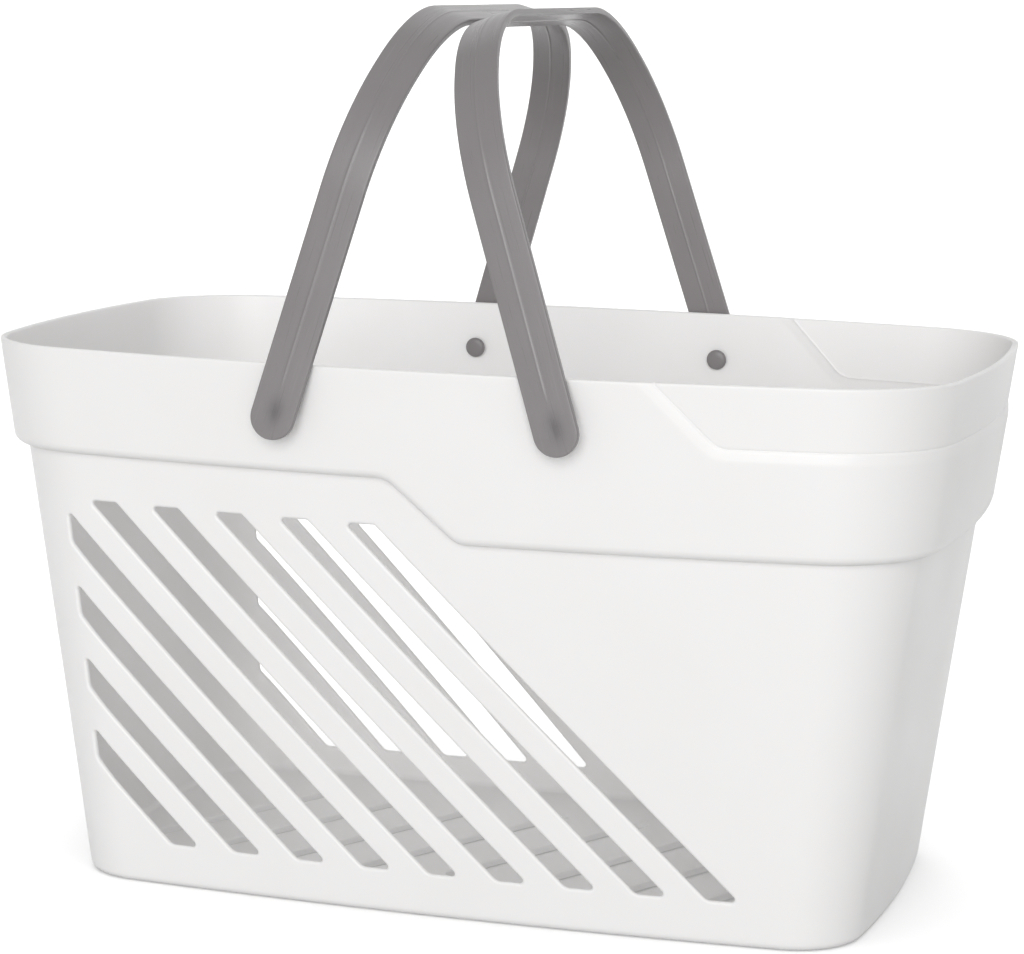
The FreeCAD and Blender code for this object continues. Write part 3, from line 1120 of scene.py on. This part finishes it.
    def build_collar(self) -> list[float]:
        """The collar's two faces with the set-back panel, and the pads.

        Returns:
            The runs across the front at which the rim's edge meets the faces.
        """
        top = self.form.height - self.rim_edge_radius
        edge = self.collar_edge_radius
        low_line = [p.off(edge) for p in self.step_path()]
        lines = self.panel_lines(top)
        left_rows = spread(low_line[0][1], top, self.coarse)
        right_rows = self.panel_rows(low_line[-1][1], top)
        starts = [line[0][0] for line in lines]
        spaced = self.wall_runs()
        runs = [r for r in spaced if min(abs(r - s) for s in starts) > self.line_clear]
        rim_runs = sorted(runs + starts)
        outline = (
            low_line
            + [(self.edge_run, z) for z in right_rows[1:-1]]
            + [(r, top) for r in rim_runs[::-1]]
            + [(-self.edge_run, z) for z in left_rows[-2:0:-1]]
        )
        rings = [self.pivot_ring(p, self.pad_radius + self.pad_edge_radius) for p in self.pivots]
        seeds = self.seeds(self.collar_low_right + edge + 2, top - 2)
        spots, faces = triangulate(outline, rings, lines, seeds, self.collar_clear)
        for out in (self.collar_proud, self.collar_proud - self.wall):
            self.work.patch([self.face(s, out) for s in spots], faces)
            for end, rows in ((End.LEFT, left_rows), (End.RIGHT, right_rows)):
                ends = self.end_runs(end)
                self.work.net([[self.face((r, z), out) for r in ends] for z in rows])
        for pivot, ring in zip(self.pivots, rings):
            self.build_pad(pivot, ring)
        return rim_runs

    def panel_rows(self, low: float, top: float) -> list[float]:
        """Heights of the collar's rows round the right end, closer at the panel's crease.

        Args:
            low: the lowest row's height.
            top: the highest row's height.

        Returns:
            The heights, from the lowest up.
        """
        bands = sorted(self.panel_low - away for away in self.panel_bands())
        below = spread(low, bands[0], self.coarse)
        return below[:-1] + bands[:-1] + spread(bands[-1], top, self.panel_top_step)

    def pivot_ring(self, pivot: Place, radius: float) -> list[Flat]:
        """A circle about a pivot, laid on the collar's outer face.

        Args:
            pivot: where the hinge's axis crosses the middle plane.
            radius: the circle's radius.

        Returns:
            Its points as (run, height).
        """
        turns = full_turn(self.circle_sides)
        ring = [(pivot[0] + radius * math.cos(t), pivot[2] + radius * math.sin(t)) for t in turns]
        return [self.form.spot(x, z, self.collar_proud) for x, z in ring]

    def build_pad(self, pivot: Place, ring: list[Flat]) -> None:
        """The flat round pad under a handle's foot, and the hole through it.

        Args:
            pivot: where the hinge's axis crosses the middle plane.
            ring: the opening left for the pad in the collar's faces.
        """
        proud, soft = self.collar_proud, self.pad_edge_radius
        outer = [self.face(s, proud) for s in ring]
        inner = [self.face(s, proud - self.wall) for s in ring]
        middle = self.form.place(self.form.station(pivot[0], pivot[2], proud), pivot[2], proud)
        flat_y = middle[1] - self.pad_proud

        def circle(radius: float, depths: list[float]) -> list[Place]:
            """A ring about the pivot with its own depth at each point."""
            turns = full_turn(self.circle_sides)
            return [
                (pivot[0] + radius * math.cos(t), y, pivot[2] + radius * math.sin(t))
                for t, y in zip(turns, depths)
            ]

        foot = [p[1] - soft for p in outer]
        rows = [outer, circle(self.pad_radius, foot)]
        for go, down in rounding(soft, 3):
            rows.append(circle(self.pad_radius - down, [flat_y + go] * self.circle_sides))
        hole, turned = self.peg_hole_radius, self.hole_edge_radius
        for out, back in self.hole_edge:
            rows.append(circle(hole + out, [flat_y + back] * self.circle_sides))
        bore = [self.form.spot(x, z, proud - self.wall) for x, _, z in circle(hole, foot)]
        depth = [self.face(s, proud - self.wall)[1] for s in bore]
        rows.append(circle(hole, [y - turned for y in depth]))
        rows.append(circle(hole + turned, depth))
        rows.append(inner)
        self.work.net(rows, closed=True)

    def build_rim(self, rim_runs: list[float]) -> None:
        """The rounded top edge, all round.

        Args:
            rim_runs: runs across the front at which it meets the collar's faces.
        """
        soft = self.rim_edge_radius
        top = self.form.height - soft
        left, right = self.end_runs(End.LEFT)[:0:-1], self.end_runs(End.RIGHT)[1:]
        edge = rounding(soft, 4)
        rows = []
        for run in left + rim_runs + right:
            face = self.collar_proud - self.set_back((run, top))
            section = [(top + soft - go, face - down) for go, down in edge]
            section += [(top + soft - go, face - self.wall + down) for go, down in edge[::-1]]
            rows.append([self.form.on_wall((run, z), out) for z, out in section])
        self.work.net(rows)

    def build_foot(self) -> list[Place]:
        """The lowest band of the wall, the foot rim and the cove where the floor meets it.

        Returns:
            The line round the front half where the floor's flat part starts.
        """
        wall, soft, cove = self.wall, self.foot_edge_radius, self.floor_cove_radius
        ring, inner, half = self.foot_ring_width, self.foot_ring_soft, self.foot_ring_half_soft
        floor_top = self.floor_underside + self.floor_thickness
        under, root = self.floor_underside, self.foot_ring_root
        outside = [(z, 0.0) for z in spread(floor_top + cove, soft + 0.8, self.foot_step)]
        outside += [(go, -down) for go, down in rounding(soft, 6)]
        outside += [(0.0, -ring + inner), (half, -ring + half), (inner, -ring)]
        outside += [(under - root, -ring), (under, -ring - root)]
        quarter = spread(0, QUARTER_TURN, QUARTER_TURN / 6)
        inside = [
            (floor_top + cove * (1 - math.sin(t)), -wall - cove * (1 - math.cos(t)))
            for t in quarter
        ]
        left, right = self.end_runs(End.LEFT)[:0:-1], self.end_runs(End.RIGHT)[1:]
        runs = left + self.wall_runs() + right
        for section in (outside, inside):
            self.work.net([[self.form.on_wall((r, z), out) for r in runs] for z, out in section])
        floor_line = [self.form.on_wall((r, floor_top), -wall - cove) for r in runs]
        last = [self.form.on_wall((r, outside[-1][0]), outside[-1][1]) for r in runs]
        self.work.net([last, [(x, y, under) for x, y, _ in floor_line]])
        return floor_line

    def drain_outlines(self) -> list[list[EdgePoint]]:
        """Each drain's outline, a slanting slot with round ends.

        Returns:
            The outlines in X and Y, with left pointing into the floor.
        """
        slant = math.radians(self.drain_angle)
        half_y = (self.drain_span - self.drain_width) / 2
        half_x = half_y / math.tan(slant)
        half = self.drain_width / 2
        lines = []
        for i in range(self.drain_count):
            middle = (i - (self.drain_count - 1) / 2) * self.drain_pitch
            outline = []
            for sign in (1, -1):
                end_x, end_y = middle + sign * half_x, sign * half_y
                for turn in spread(QUARTER_TURN, -QUARTER_TURN, QUARTER_TURN / 5):
                    angle = slant + turn + (0 if sign > 0 else math.pi)
                    left_x, left_y = math.cos(angle), math.sin(angle)
                    x, y = end_x + half * left_x, end_y + half * left_y
                    outline.append(EdgePoint(x, y, left_x, left_y))
                first = outline[-1]
                for part in range(1, self.drain_side_parts):
                    share = part / self.drain_side_parts
                    x = first.x - 2 * sign * half_x * share
                    y = first.z - 2 * sign * half_y * share
                    outline.append(EdgePoint(x, y, first.left_x, first.left_z))
            lines.append(outline)
        return lines

    def build_floor(self, floor_line: list[Place]) -> None:
        """The floor with its slanting drains.

        Args:
            floor_line: the line round the front half where the floor's flat part starts.
        """
        front = [(x, y) for x, y, _ in floor_line]
        outline = front + [(x, -y) for x, y in front[-2:0:-1]]
        top, under = self.floor_underside + self.floor_thickness, self.floor_underside
        drains = self.drain_outlines()
        soft = self.drain_edge_radius
        rings = [[p.off(soft) for p in drain] for drain in drains]
        xs = [x for x, _ in front]
        ys = [y for _, y in front]
        across = spread(min(ys), -min(ys), self.floor_step)
        seeds = [(x, y) for x in spread(min(xs), max(xs), self.floor_step) for y in across]
        spots, faces = triangulate(outline, rings, [], seeds, self.floor_clear)
        for z in (top, under):
            self.work.patch([(x, y, z) for x, y in spots], faces)
        edge = rounding(soft, 4)
        section = [(g, top - down) for g, down in edge] + [(g, under + d) for g, d in edge[::-1]]
        for drain in drains:
            self.work.net([[(*p.off(g), z) for p in drain] for g, z in section], closed=True)

    def build(self) -> bpy.types.Object:
        """Builds the whole tub.

        Returns:
            The tub's object.
        """
        self.build_body()
        self.build_collar_edge()
        rim_runs = self.build_collar()
        self.build_rim(rim_runs)
        floor_line = self.build_foot()
        self.work.mirror_y()
        self.build_floor(floor_line)
        return self.work.make(self.name)

    def dress(self, piece: bpy.types.Object, finish: MouldedPolypropylene) -> None:
        """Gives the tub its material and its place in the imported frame.

        Args:
            piece: the tub's object.
            finish: what it is moulded in.
        """
        piece.data.materials.append(finish.material("moulded_polypropylene_white"))
        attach(piece, "tub")
        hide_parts("tub")


@dataclass
class Handle:
    """One strap handle: the arched strap with rounded feet, and a peg inside each foot."""

    end: End
    lean: float
    form: PlanForm
    rise: float = 133.0
    shoulder_height: float = 98.5
    shoulder_inset: float = 6.2
    top_bend_half_width: float = 67.4
    shoulder_radius: float = 61.9
    top_bend_radius: float = 55.0
    strap_width: float = 14.8
    strap_thickness: float = 3.0
    strap_edge_radius: float = 0.55
    crown: float = 0.12
    flow_ridge: float = 0.2
    flow_ridge_width: float = 0.3
    flow_ridge_start: float = 9.0
    flow_ridge_full: float = 16.0
    sink_depth: float = 0.3
    sink_radius: float = 2.6
    sink_length: float = 4.2
    sink_middle: float = 2.0
    outer_face: float = 0.8         # the sink mark shows only this far out from the middle
    collar_proud: float = 4.4
    wall: float = 2.2
    rim_clearance: float = 0.5
    rim_crossing_lean: float = 17.7
    pad_proud: float = 1.1
    face_clearance: float = 0.3
    peg_radius: float = 2.8
    shoulder_peg_radius: float = 5.0
    head_radius: float = 3.7
    head_thickness: float = 1.5
    head_dome: tuple[Flat, ...] = (
        (0.0, 0.0), (1.2, 0.02), (2.2, 0.1), (2.9, 0.26), (3.4, 0.55), (3.63, 0.85),
    )
    head_dome_height: float = 1.1
    head_edge: float = 0.12
    peg_root: float = 0.15
    shoulder_root: float = 0.2
    shoulder_edge: float = 0.25
    shoulder_sunk: float = 0.4
    peg_sides: int = 40
    row_step: float = 2.0
    section_across: tuple[float, ...] = (0.0, 0.22, 0.45, 0.75, 1.2, 2.2, 3.6, 5.0)

    def __post_init__(self) -> None:
        """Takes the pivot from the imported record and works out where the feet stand."""
        self.node = f"{self.end.name.lower()}_handle"
        self.pivot = pivot_mm(f"{self.node}_swing")
        crossing = self.form.height - self.pivot[2]
        half_width = self.strap_width / 2
        lean_run = crossing * math.tan(math.radians(self.rim_crossing_lean))
        edge_x = abs(self.pivot[0]) - lean_run - half_width
        rim_y = self.wall_y(edge_x, self.form.height, self.collar_proud)
        lean_in = self.shoulder_inset / self.shoulder_height * crossing
        self.foot = rim_y + self.rim_clearance + lean_in + self.strap_thickness / 2
        self.work = MeshWork()

    def wall_y(self, x: float, z: float, out: float) -> float:
        """How far the tub's long wall stands from the middle plane at x and z."""
        return -self.form.place(self.form.station(x, z, out), z, out)[1]

    def at_rest(self, across: float, y: float, rise: float) -> Place:
        """Where a point of the upright handle lies at rest.

        Args:
            across: its distance from the pivot along X.
            y: its distance along Y.
            rise: its height above the pivot.

        Returns:
            The point with the handle leaning as it does at rest.
        """
        lean = math.radians(-self.end.value * self.lean)
        x = across * math.cos(lean) + rise * math.sin(lean)
        z = rise * math.cos(lean) - across * math.sin(lean)
        return (self.pivot[0] + x, self.pivot[1] + y, self.pivot[2] + z)

    def half_section(self, ridge: float) -> list[Flat]:
        """Half the strap's section, from the middle of its outer face to that of its inner.

        Args:
            ridge: height of the raised flow line along the middle.

        Returns:
            Pairs of (distance across, distance outward).
        """
        edge, half = self.strap_edge_radius, self.strap_width / 2
        flat = half - edge
        face = self.strap_thickness / 2 - self.flow_ridge
        outer = []
        for w in (*self.section_across, flat - 0.6, flat):
            raised = ridge * math.exp(-((w / self.flow_ridge_width) ** 2))
            outer.append((w, face - self.crown * (w / half) ** 2 + raised))
        level = outer[-1][1]
        turns = spread(0, QUARTER_TURN, QUARTER_TURN / 5)[1:]
        round_edge = [
            (flat + edge * math.sin(t), level - edge * (1 - math.cos(t))) for t in turns
        ]
        above = outer + round_edge
        return above + [(w, -t) for w, t in above[::-1]]

    def sink(self, across: float, along: float, out: float) -> float:
        """How strong the sink mark over the peg is at a point of the strap; it sets the dent and
        its painted shade.

        Args:
            across: distance from the strap's middle line.
            along: distance along the strap from the pivot.
            out: distance outward from the strap's middle surface.

        Returns:
            From 0 to 1, and 0 anywhere but on the outer face.
        """
        if out < self.outer_face:
            return 0.0
        beyond = (along - self.sink_middle) / self.sink_length
        return math.exp(-((across / self.sink_radius) ** 2) - beyond**2)

    def build_strap(self) -> None:
        """The arched strap and its two half-round feet."""
        low, high = self.foot, self.foot - self.shoulder_inset
        corners = [
            (-low, 0.0),
            (-high, self.shoulder_height),
            (-self.top_bend_half_width, self.rise),
            (self.top_bend_half_width, self.rise),
            (high, self.shoulder_height),
            (low, 0.0),
        ]
        bends = [self.shoulder_radius, self.top_bend_radius]
        path = rounded_path(corners, [0] + bends + bends[::-1] + [0], self.row_step, False, 2.0)
        lengths = [0.0]
        for near, far in zip(path, path[1:]):
            lengths.append(lengths[-1] + math.hypot(far.x - near.x, far.z - near.z))
        total = lengths[-1]
        rows, runs = [], []
        growth = self.flow_ridge_full - self.flow_ridge_start
        for point, length in zip(path, lengths):
            along = min(length, total - length)
            grown = (along - self.flow_ridge_start) / growth
            half = self.half_section(self.flow_ridge * min(max(grown, 0.0), 1.0))
            section = half + [(-w, t) for w, t in half[-2:0:-1]]
            # Each sink mark dents the strap and is kept to darken it with painted shade.
            sink_and_shade_marks = [self.sink(w, along, t) for w, t in section]
            places = [
                (w, *point.off(t - self.sink_depth * m)) for (w, t), m in zip(section, sink_and_shade_marks)
            ]
            rows.append([self.at_rest(*place) for place in places])
            runs.extend((w, length, t) for w, t in section)
            self.work.sink_and_shade_marks.extend(sink_and_shade_marks)
        self.work.net(rows, closed=True)
        self.work.runs.extend(runs)
        for point, sign, start in ((path[0], 1, 0.0), (path[-1], -1, total)):
            self.build_foot(point, sign, start)

    def build_foot(self, point: EdgePoint, sign: int, start: float) -> None:
        """The half-round end of the strap about a pivot.

        Args:
            point: the strap's path where it crosses the pivot.
            sign: 1 if the path leaves this foot, -1 if it arrives.
            start: the path's length at this foot.
        """
        ahead_y, ahead_z = point.left_z * sign, -point.left_x * sign
        section = self.half_section(0.0)
        rows = []
        for turn in spread(-QUARTER_TURN, QUARTER_TURN, QUARTER_TURN / 14):
            row = []
            for w, t in section:
                across, along = w * math.sin(turn), -w * math.cos(turn)
                sink_and_shade_mark = self.sink(across, along, t)
                y, z = point.off(t - self.sink_depth * sink_and_shade_mark)
                row.append(self.at_rest(across, y + ahead_y * along, z + ahead_z * along))
                self.work.runs.append((across, start + along * sign, t))
                self.work.sink_and_shade_marks.append(sink_and_shade_mark)
            rows.append(row)
        self.work.net(rows)

    def build_pegs(self) -> list[MeshWork]:
        """The two turned pegs, each with its shoulder and its domed head.

        Returns:
            One closed mesh for each peg.
        """
        inside = self.collar_proud - self.wall
        x, z = abs(self.pivot[0]) + self.head_radius, self.pivot[2] - self.head_radius
        shoulder_y = self.wall_y(abs(self.pivot[0]), self.pivot[2], self.collar_proud)
        shoulder_y += self.pad_proud + self.face_clearance
        head_y = self.wall_y(x, z, inside) - self.face_clearance
        tip_y = head_y - self.head_thickness
        head, peg, wide = self.head_radius, self.peg_radius, self.shoulder_peg_radius
        sunk_y = self.foot - self.shoulder_sunk
        profile = [(radius, tip_y + back) for radius, back in self.head_dome]
        profile += [
            (head, tip_y + self.head_dome_height),
            (head, head_y - self.head_edge),
            (head - self.head_edge, head_y),
            (peg + self.peg_root, head_y),
            (peg, head_y + self.peg_root),
            (peg, shoulder_y - self.shoulder_root),
            (peg + self.shoulder_root, shoulder_y),
            (wide - self.shoulder_edge, shoulder_y),
            (wide, shoulder_y + self.shoulder_edge),
            (wide, sunk_y),
            (0.0, sunk_y),
        ]
        made = []
        for side in Side:
            work = MeshWork()
            rows = []
            for radius, y in profile:
                turns = full_turn(self.peg_sides)
                ring = [
                    self.at_rest(radius * math.cos(t), side.value * y, radius * math.sin(t))
                    for t in turns
                ]
                rows.append(ring)
                work.runs.extend((radius, y, 0.0) for _ in turns)
            work.net(rows, closed=True)
            made.append(work)
        return made

    def build(self) -> list[bpy.types.Object]:
        """Builds the strap and the pegs.

        Returns:
            The strap's object, then the two pegs' objects.
        """
        self.build_strap()
        pieces = [self.work.make(f"{self.node}_strap")]
        for side, work in zip(Side, self.build_pegs()):
            pieces.append(work.make(f"{self.node}_{side.name.lower()}_peg"))
        return pieces

    def dress(self, pieces: list[bpy.types.Object], material: bpy.types.Material) -> None:
        """Gives the handle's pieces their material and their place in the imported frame.

        Args:
            pieces: the handle's objects.
            material: what they are moulded in.
        """
        for piece in pieces:
            piece.data.materials.append(material)
            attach(piece, self.node)
            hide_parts(self.node)


@dataclass(frozen=True)
class PaintedSweep:
    """Pale matt paint, rolled on the floor and backdrop, with a faint cloudiness."""

    tone: str = "#F4F4F4"
    cloud_tone: str = "#F1F1F1"
    cloud_mm: float = 300.0
    roughness: float = 0.9

    def material(self, name: str) -> bpy.types.Material:
        """Builds the node material.

        Args:
            name: the material's name.

        Returns:
            The finished material.
        """
        material = blank_material(name)
        tree = material.node_tree
        place = add_node(tree, "ShaderNodeTexCoord")
        clouds = add_node(
            tree, "ShaderNodeTexNoise", {},
            {"Vector": (place, "Object"), "Scale": per_metre(self.cloud_mm)},
        )
        tone = add_node(
            tree, "ShaderNodeMix", {"data_type": "RGBA"},
            {
                "Factor": (clouds, "Fac"), FIRST_COLOUR: linear(self.tone),
                SECOND_COLOUR: linear(self.cloud_tone),
            },
        )
        shader = add_node(
            tree, "ShaderNodeBsdfPrincipled", {},
            {"Base Color": (tone, MIXED_COLOUR), "Roughness": self.roughness},
        )
        add_node(tree, "ShaderNodeOutputMaterial", {}, {"Surface": (shader, "BSDF")})
        return material


@dataclass
class Studio:
    """Floor with a backdrop that sweeps up behind, soft lights and the camera."""

    floor_half_width: float = 4.0
    floor_front: float = -3.0
    sweep_start: float = 2.4
    sweep_radius: float = 1.2
    backdrop_height: float = 3.5
    light_above: float = 0.5
    light_below: float = 0.44
    light_turn: float = 0.5         # the change from below to above spans this much each way
    key_toward: Place = (0.17, -0.95, 0.24)
    key_angle: float = 44.0
    key_power: float = 1.92
    back_toward: Place = (-0.1, 0.95, 0.3)
    back_angle: float = 90.0
    back_power: float = 1.1
    floor_toward: Place = (0.0, -0.1, 1.0)
    floor_angle: float = 80.0
    floor_power: float = 2.3
    camera_place: Place = (324.09, -1029.05, 311.71)
    camera_yaw: float = 17.525
    camera_pitch: float = 9.153
    camera_roll: float = 0.824
    camera_lens: float = 109.81
    camera_sensor: float = 36.0
    camera_reach: float = 50.0

    def build_floor(self) -> None:
        """The floor and backdrop as one swept sheet."""
        profile = [(self.floor_front, 0.0), (self.sweep_start, 0.0)]
        for turn in spread(0, QUARTER_TURN, QUARTER_TURN / 18)[1:]:
            y = self.sweep_start + self.sweep_radius * math.sin(turn)
            profile.append((y, self.sweep_radius * (1 - math.cos(turn))))
        profile.append((profile[-1][0], self.backdrop_height))
        half = self.floor_half_width
        points = [(x, y, z) for y, z in profile for x in (-half, half)]
        faces = [(2 * i, 2 * i + 1, 2 * i + 3, 2 * i + 2) for i in range(len(profile) - 1)]
        mesh = bpy.data.meshes.new("studio_sweep")
        mesh.from_pydata(points, [], faces)
        mesh.polygons.foreach_set("use_smooth", [True] * len(faces))
        sheet = bpy.data.objects.new("studio_sweep", mesh)
        bpy.context.scene.collection.objects.link(sheet)
        mesh.materials.append(PaintedSweep().material("painted_sweep"))
        sheet.visible_diffuse = False      # it casts no light of its own up onto the caddy
        self.lit_floor = bpy.data.collections.new("lit_floor")
        self.lit_floor.objects.link(sheet)

    def add_softlight(
        self, name: str, toward: Place, spread_angle: float, power: float
    ) -> bpy.types.Object:
        """Adds one large soft light, far enough away to fall evenly.

        Args:
            name: the light's name.
            toward: direction from the caddy to the light.
            spread_angle: how wide the light looks from the caddy, in degrees.
            power: light that reaches a face square to it, in watts per square metre.

        Returns:
            The light's object.
        """
        data = bpy.data.lights.new(name, "SUN")
        data.angle = math.radians(spread_angle)
        data.energy = power
        lamp = bpy.data.objects.new(name, data)
        lamp.rotation_euler = (-Vector(toward)).to_track_quat("-Z", "Y").to_euler()
        bpy.context.scene.collection.objects.link(lamp)
        return lamp

    def build_lights(self) -> None:
        """Even light all round, a wide key in front, a fill behind and the floor's own light."""
        world = bpy.data.worlds.new("studio_air")
        world.use_nodes = True
        tree = world.node_tree
        tree.nodes.clear()
        toward = add_node(tree, "ShaderNodeTexCoord")
        parts = add_node(tree, "ShaderNodeSeparateXYZ", {}, {"Vector": (toward, "Generated")})
        level = add_node(
            tree, "ShaderNodeMapRange", {"interpolation_type": "SMOOTHSTEP"},
            {
                "Value": (parts, "Z"),
                "From Min": -self.light_turn, "From Max": self.light_turn,
                "To Min": self.light_below, "To Max": self.light_above,
            },
        )
        air = add_node(
            tree, "ShaderNodeBackground", {},
            {"Color": (1.0, 1.0, 1.0, 1.0), "Strength": (level, "Result")},
        )
        add_node(tree, "ShaderNodeOutputWorld", {}, {"Surface": (air, "Background")})
        bpy.context.scene.world = world
        self.add_softlight("key", self.key_toward, self.key_angle, self.key_power)
        self.add_softlight("back_fill", self.back_toward, self.back_angle, self.back_power)
        lamp = self.add_softlight(
            "floor_light", self.floor_toward, self.floor_angle, self.floor_power
        )
        lamp.light_linking.receiver_collection = self.lit_floor

    def build_camera(self) -> None:
        """The main camera."""
        data = bpy.data.cameras.new("main_camera")
        data.lens = self.camera_lens
        data.sensor_width = self.camera_sensor
        data.clip_end = self.camera_reach
        camera = bpy.data.objects.new("main_camera", data)
        yaw, pitch = math.radians(self.camera_yaw), math.radians(self.camera_pitch)
        turn = Matrix.Rotation(yaw, 4, "Z") @ Matrix.Rotation(math.pi / 2 - pitch, 4, "X")
        roll = Matrix.Rotation(math.radians(self.camera_roll), 4, "Z")
        place = Matrix.Translation([v * MM for v in self.camera_place])
        camera.matrix_world = place @ turn @ roll
        bpy.context.scene.collection.objects.link(camera)
        bpy.context.scene.camera = camera


def main() -> None:
    """Builds and dresses every piece in order, then the studio."""
    logging.basicConfig(level=logging.INFO, format="%(name)s: %(message)s")
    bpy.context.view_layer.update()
    tub = Tub()
    tub.dress(tub.build(), MouldedPolypropylene())
    grey = MouldedPolyethylene().material("moulded_polyethylene_grey")
    for end, lean in ((End.LEFT, 16.6), (End.RIGHT, 17.7)):
        handle = Handle(end, lean, tub.form)
        handle.dress(handle.build(), grey)
    studio = Studio()
    studio.build_floor()
    studio.build_lights()
    studio.build_camera()
    bpy.context.scene.view_settings.view_transform = "Standard"


if __name__ == "__main__":
    main()
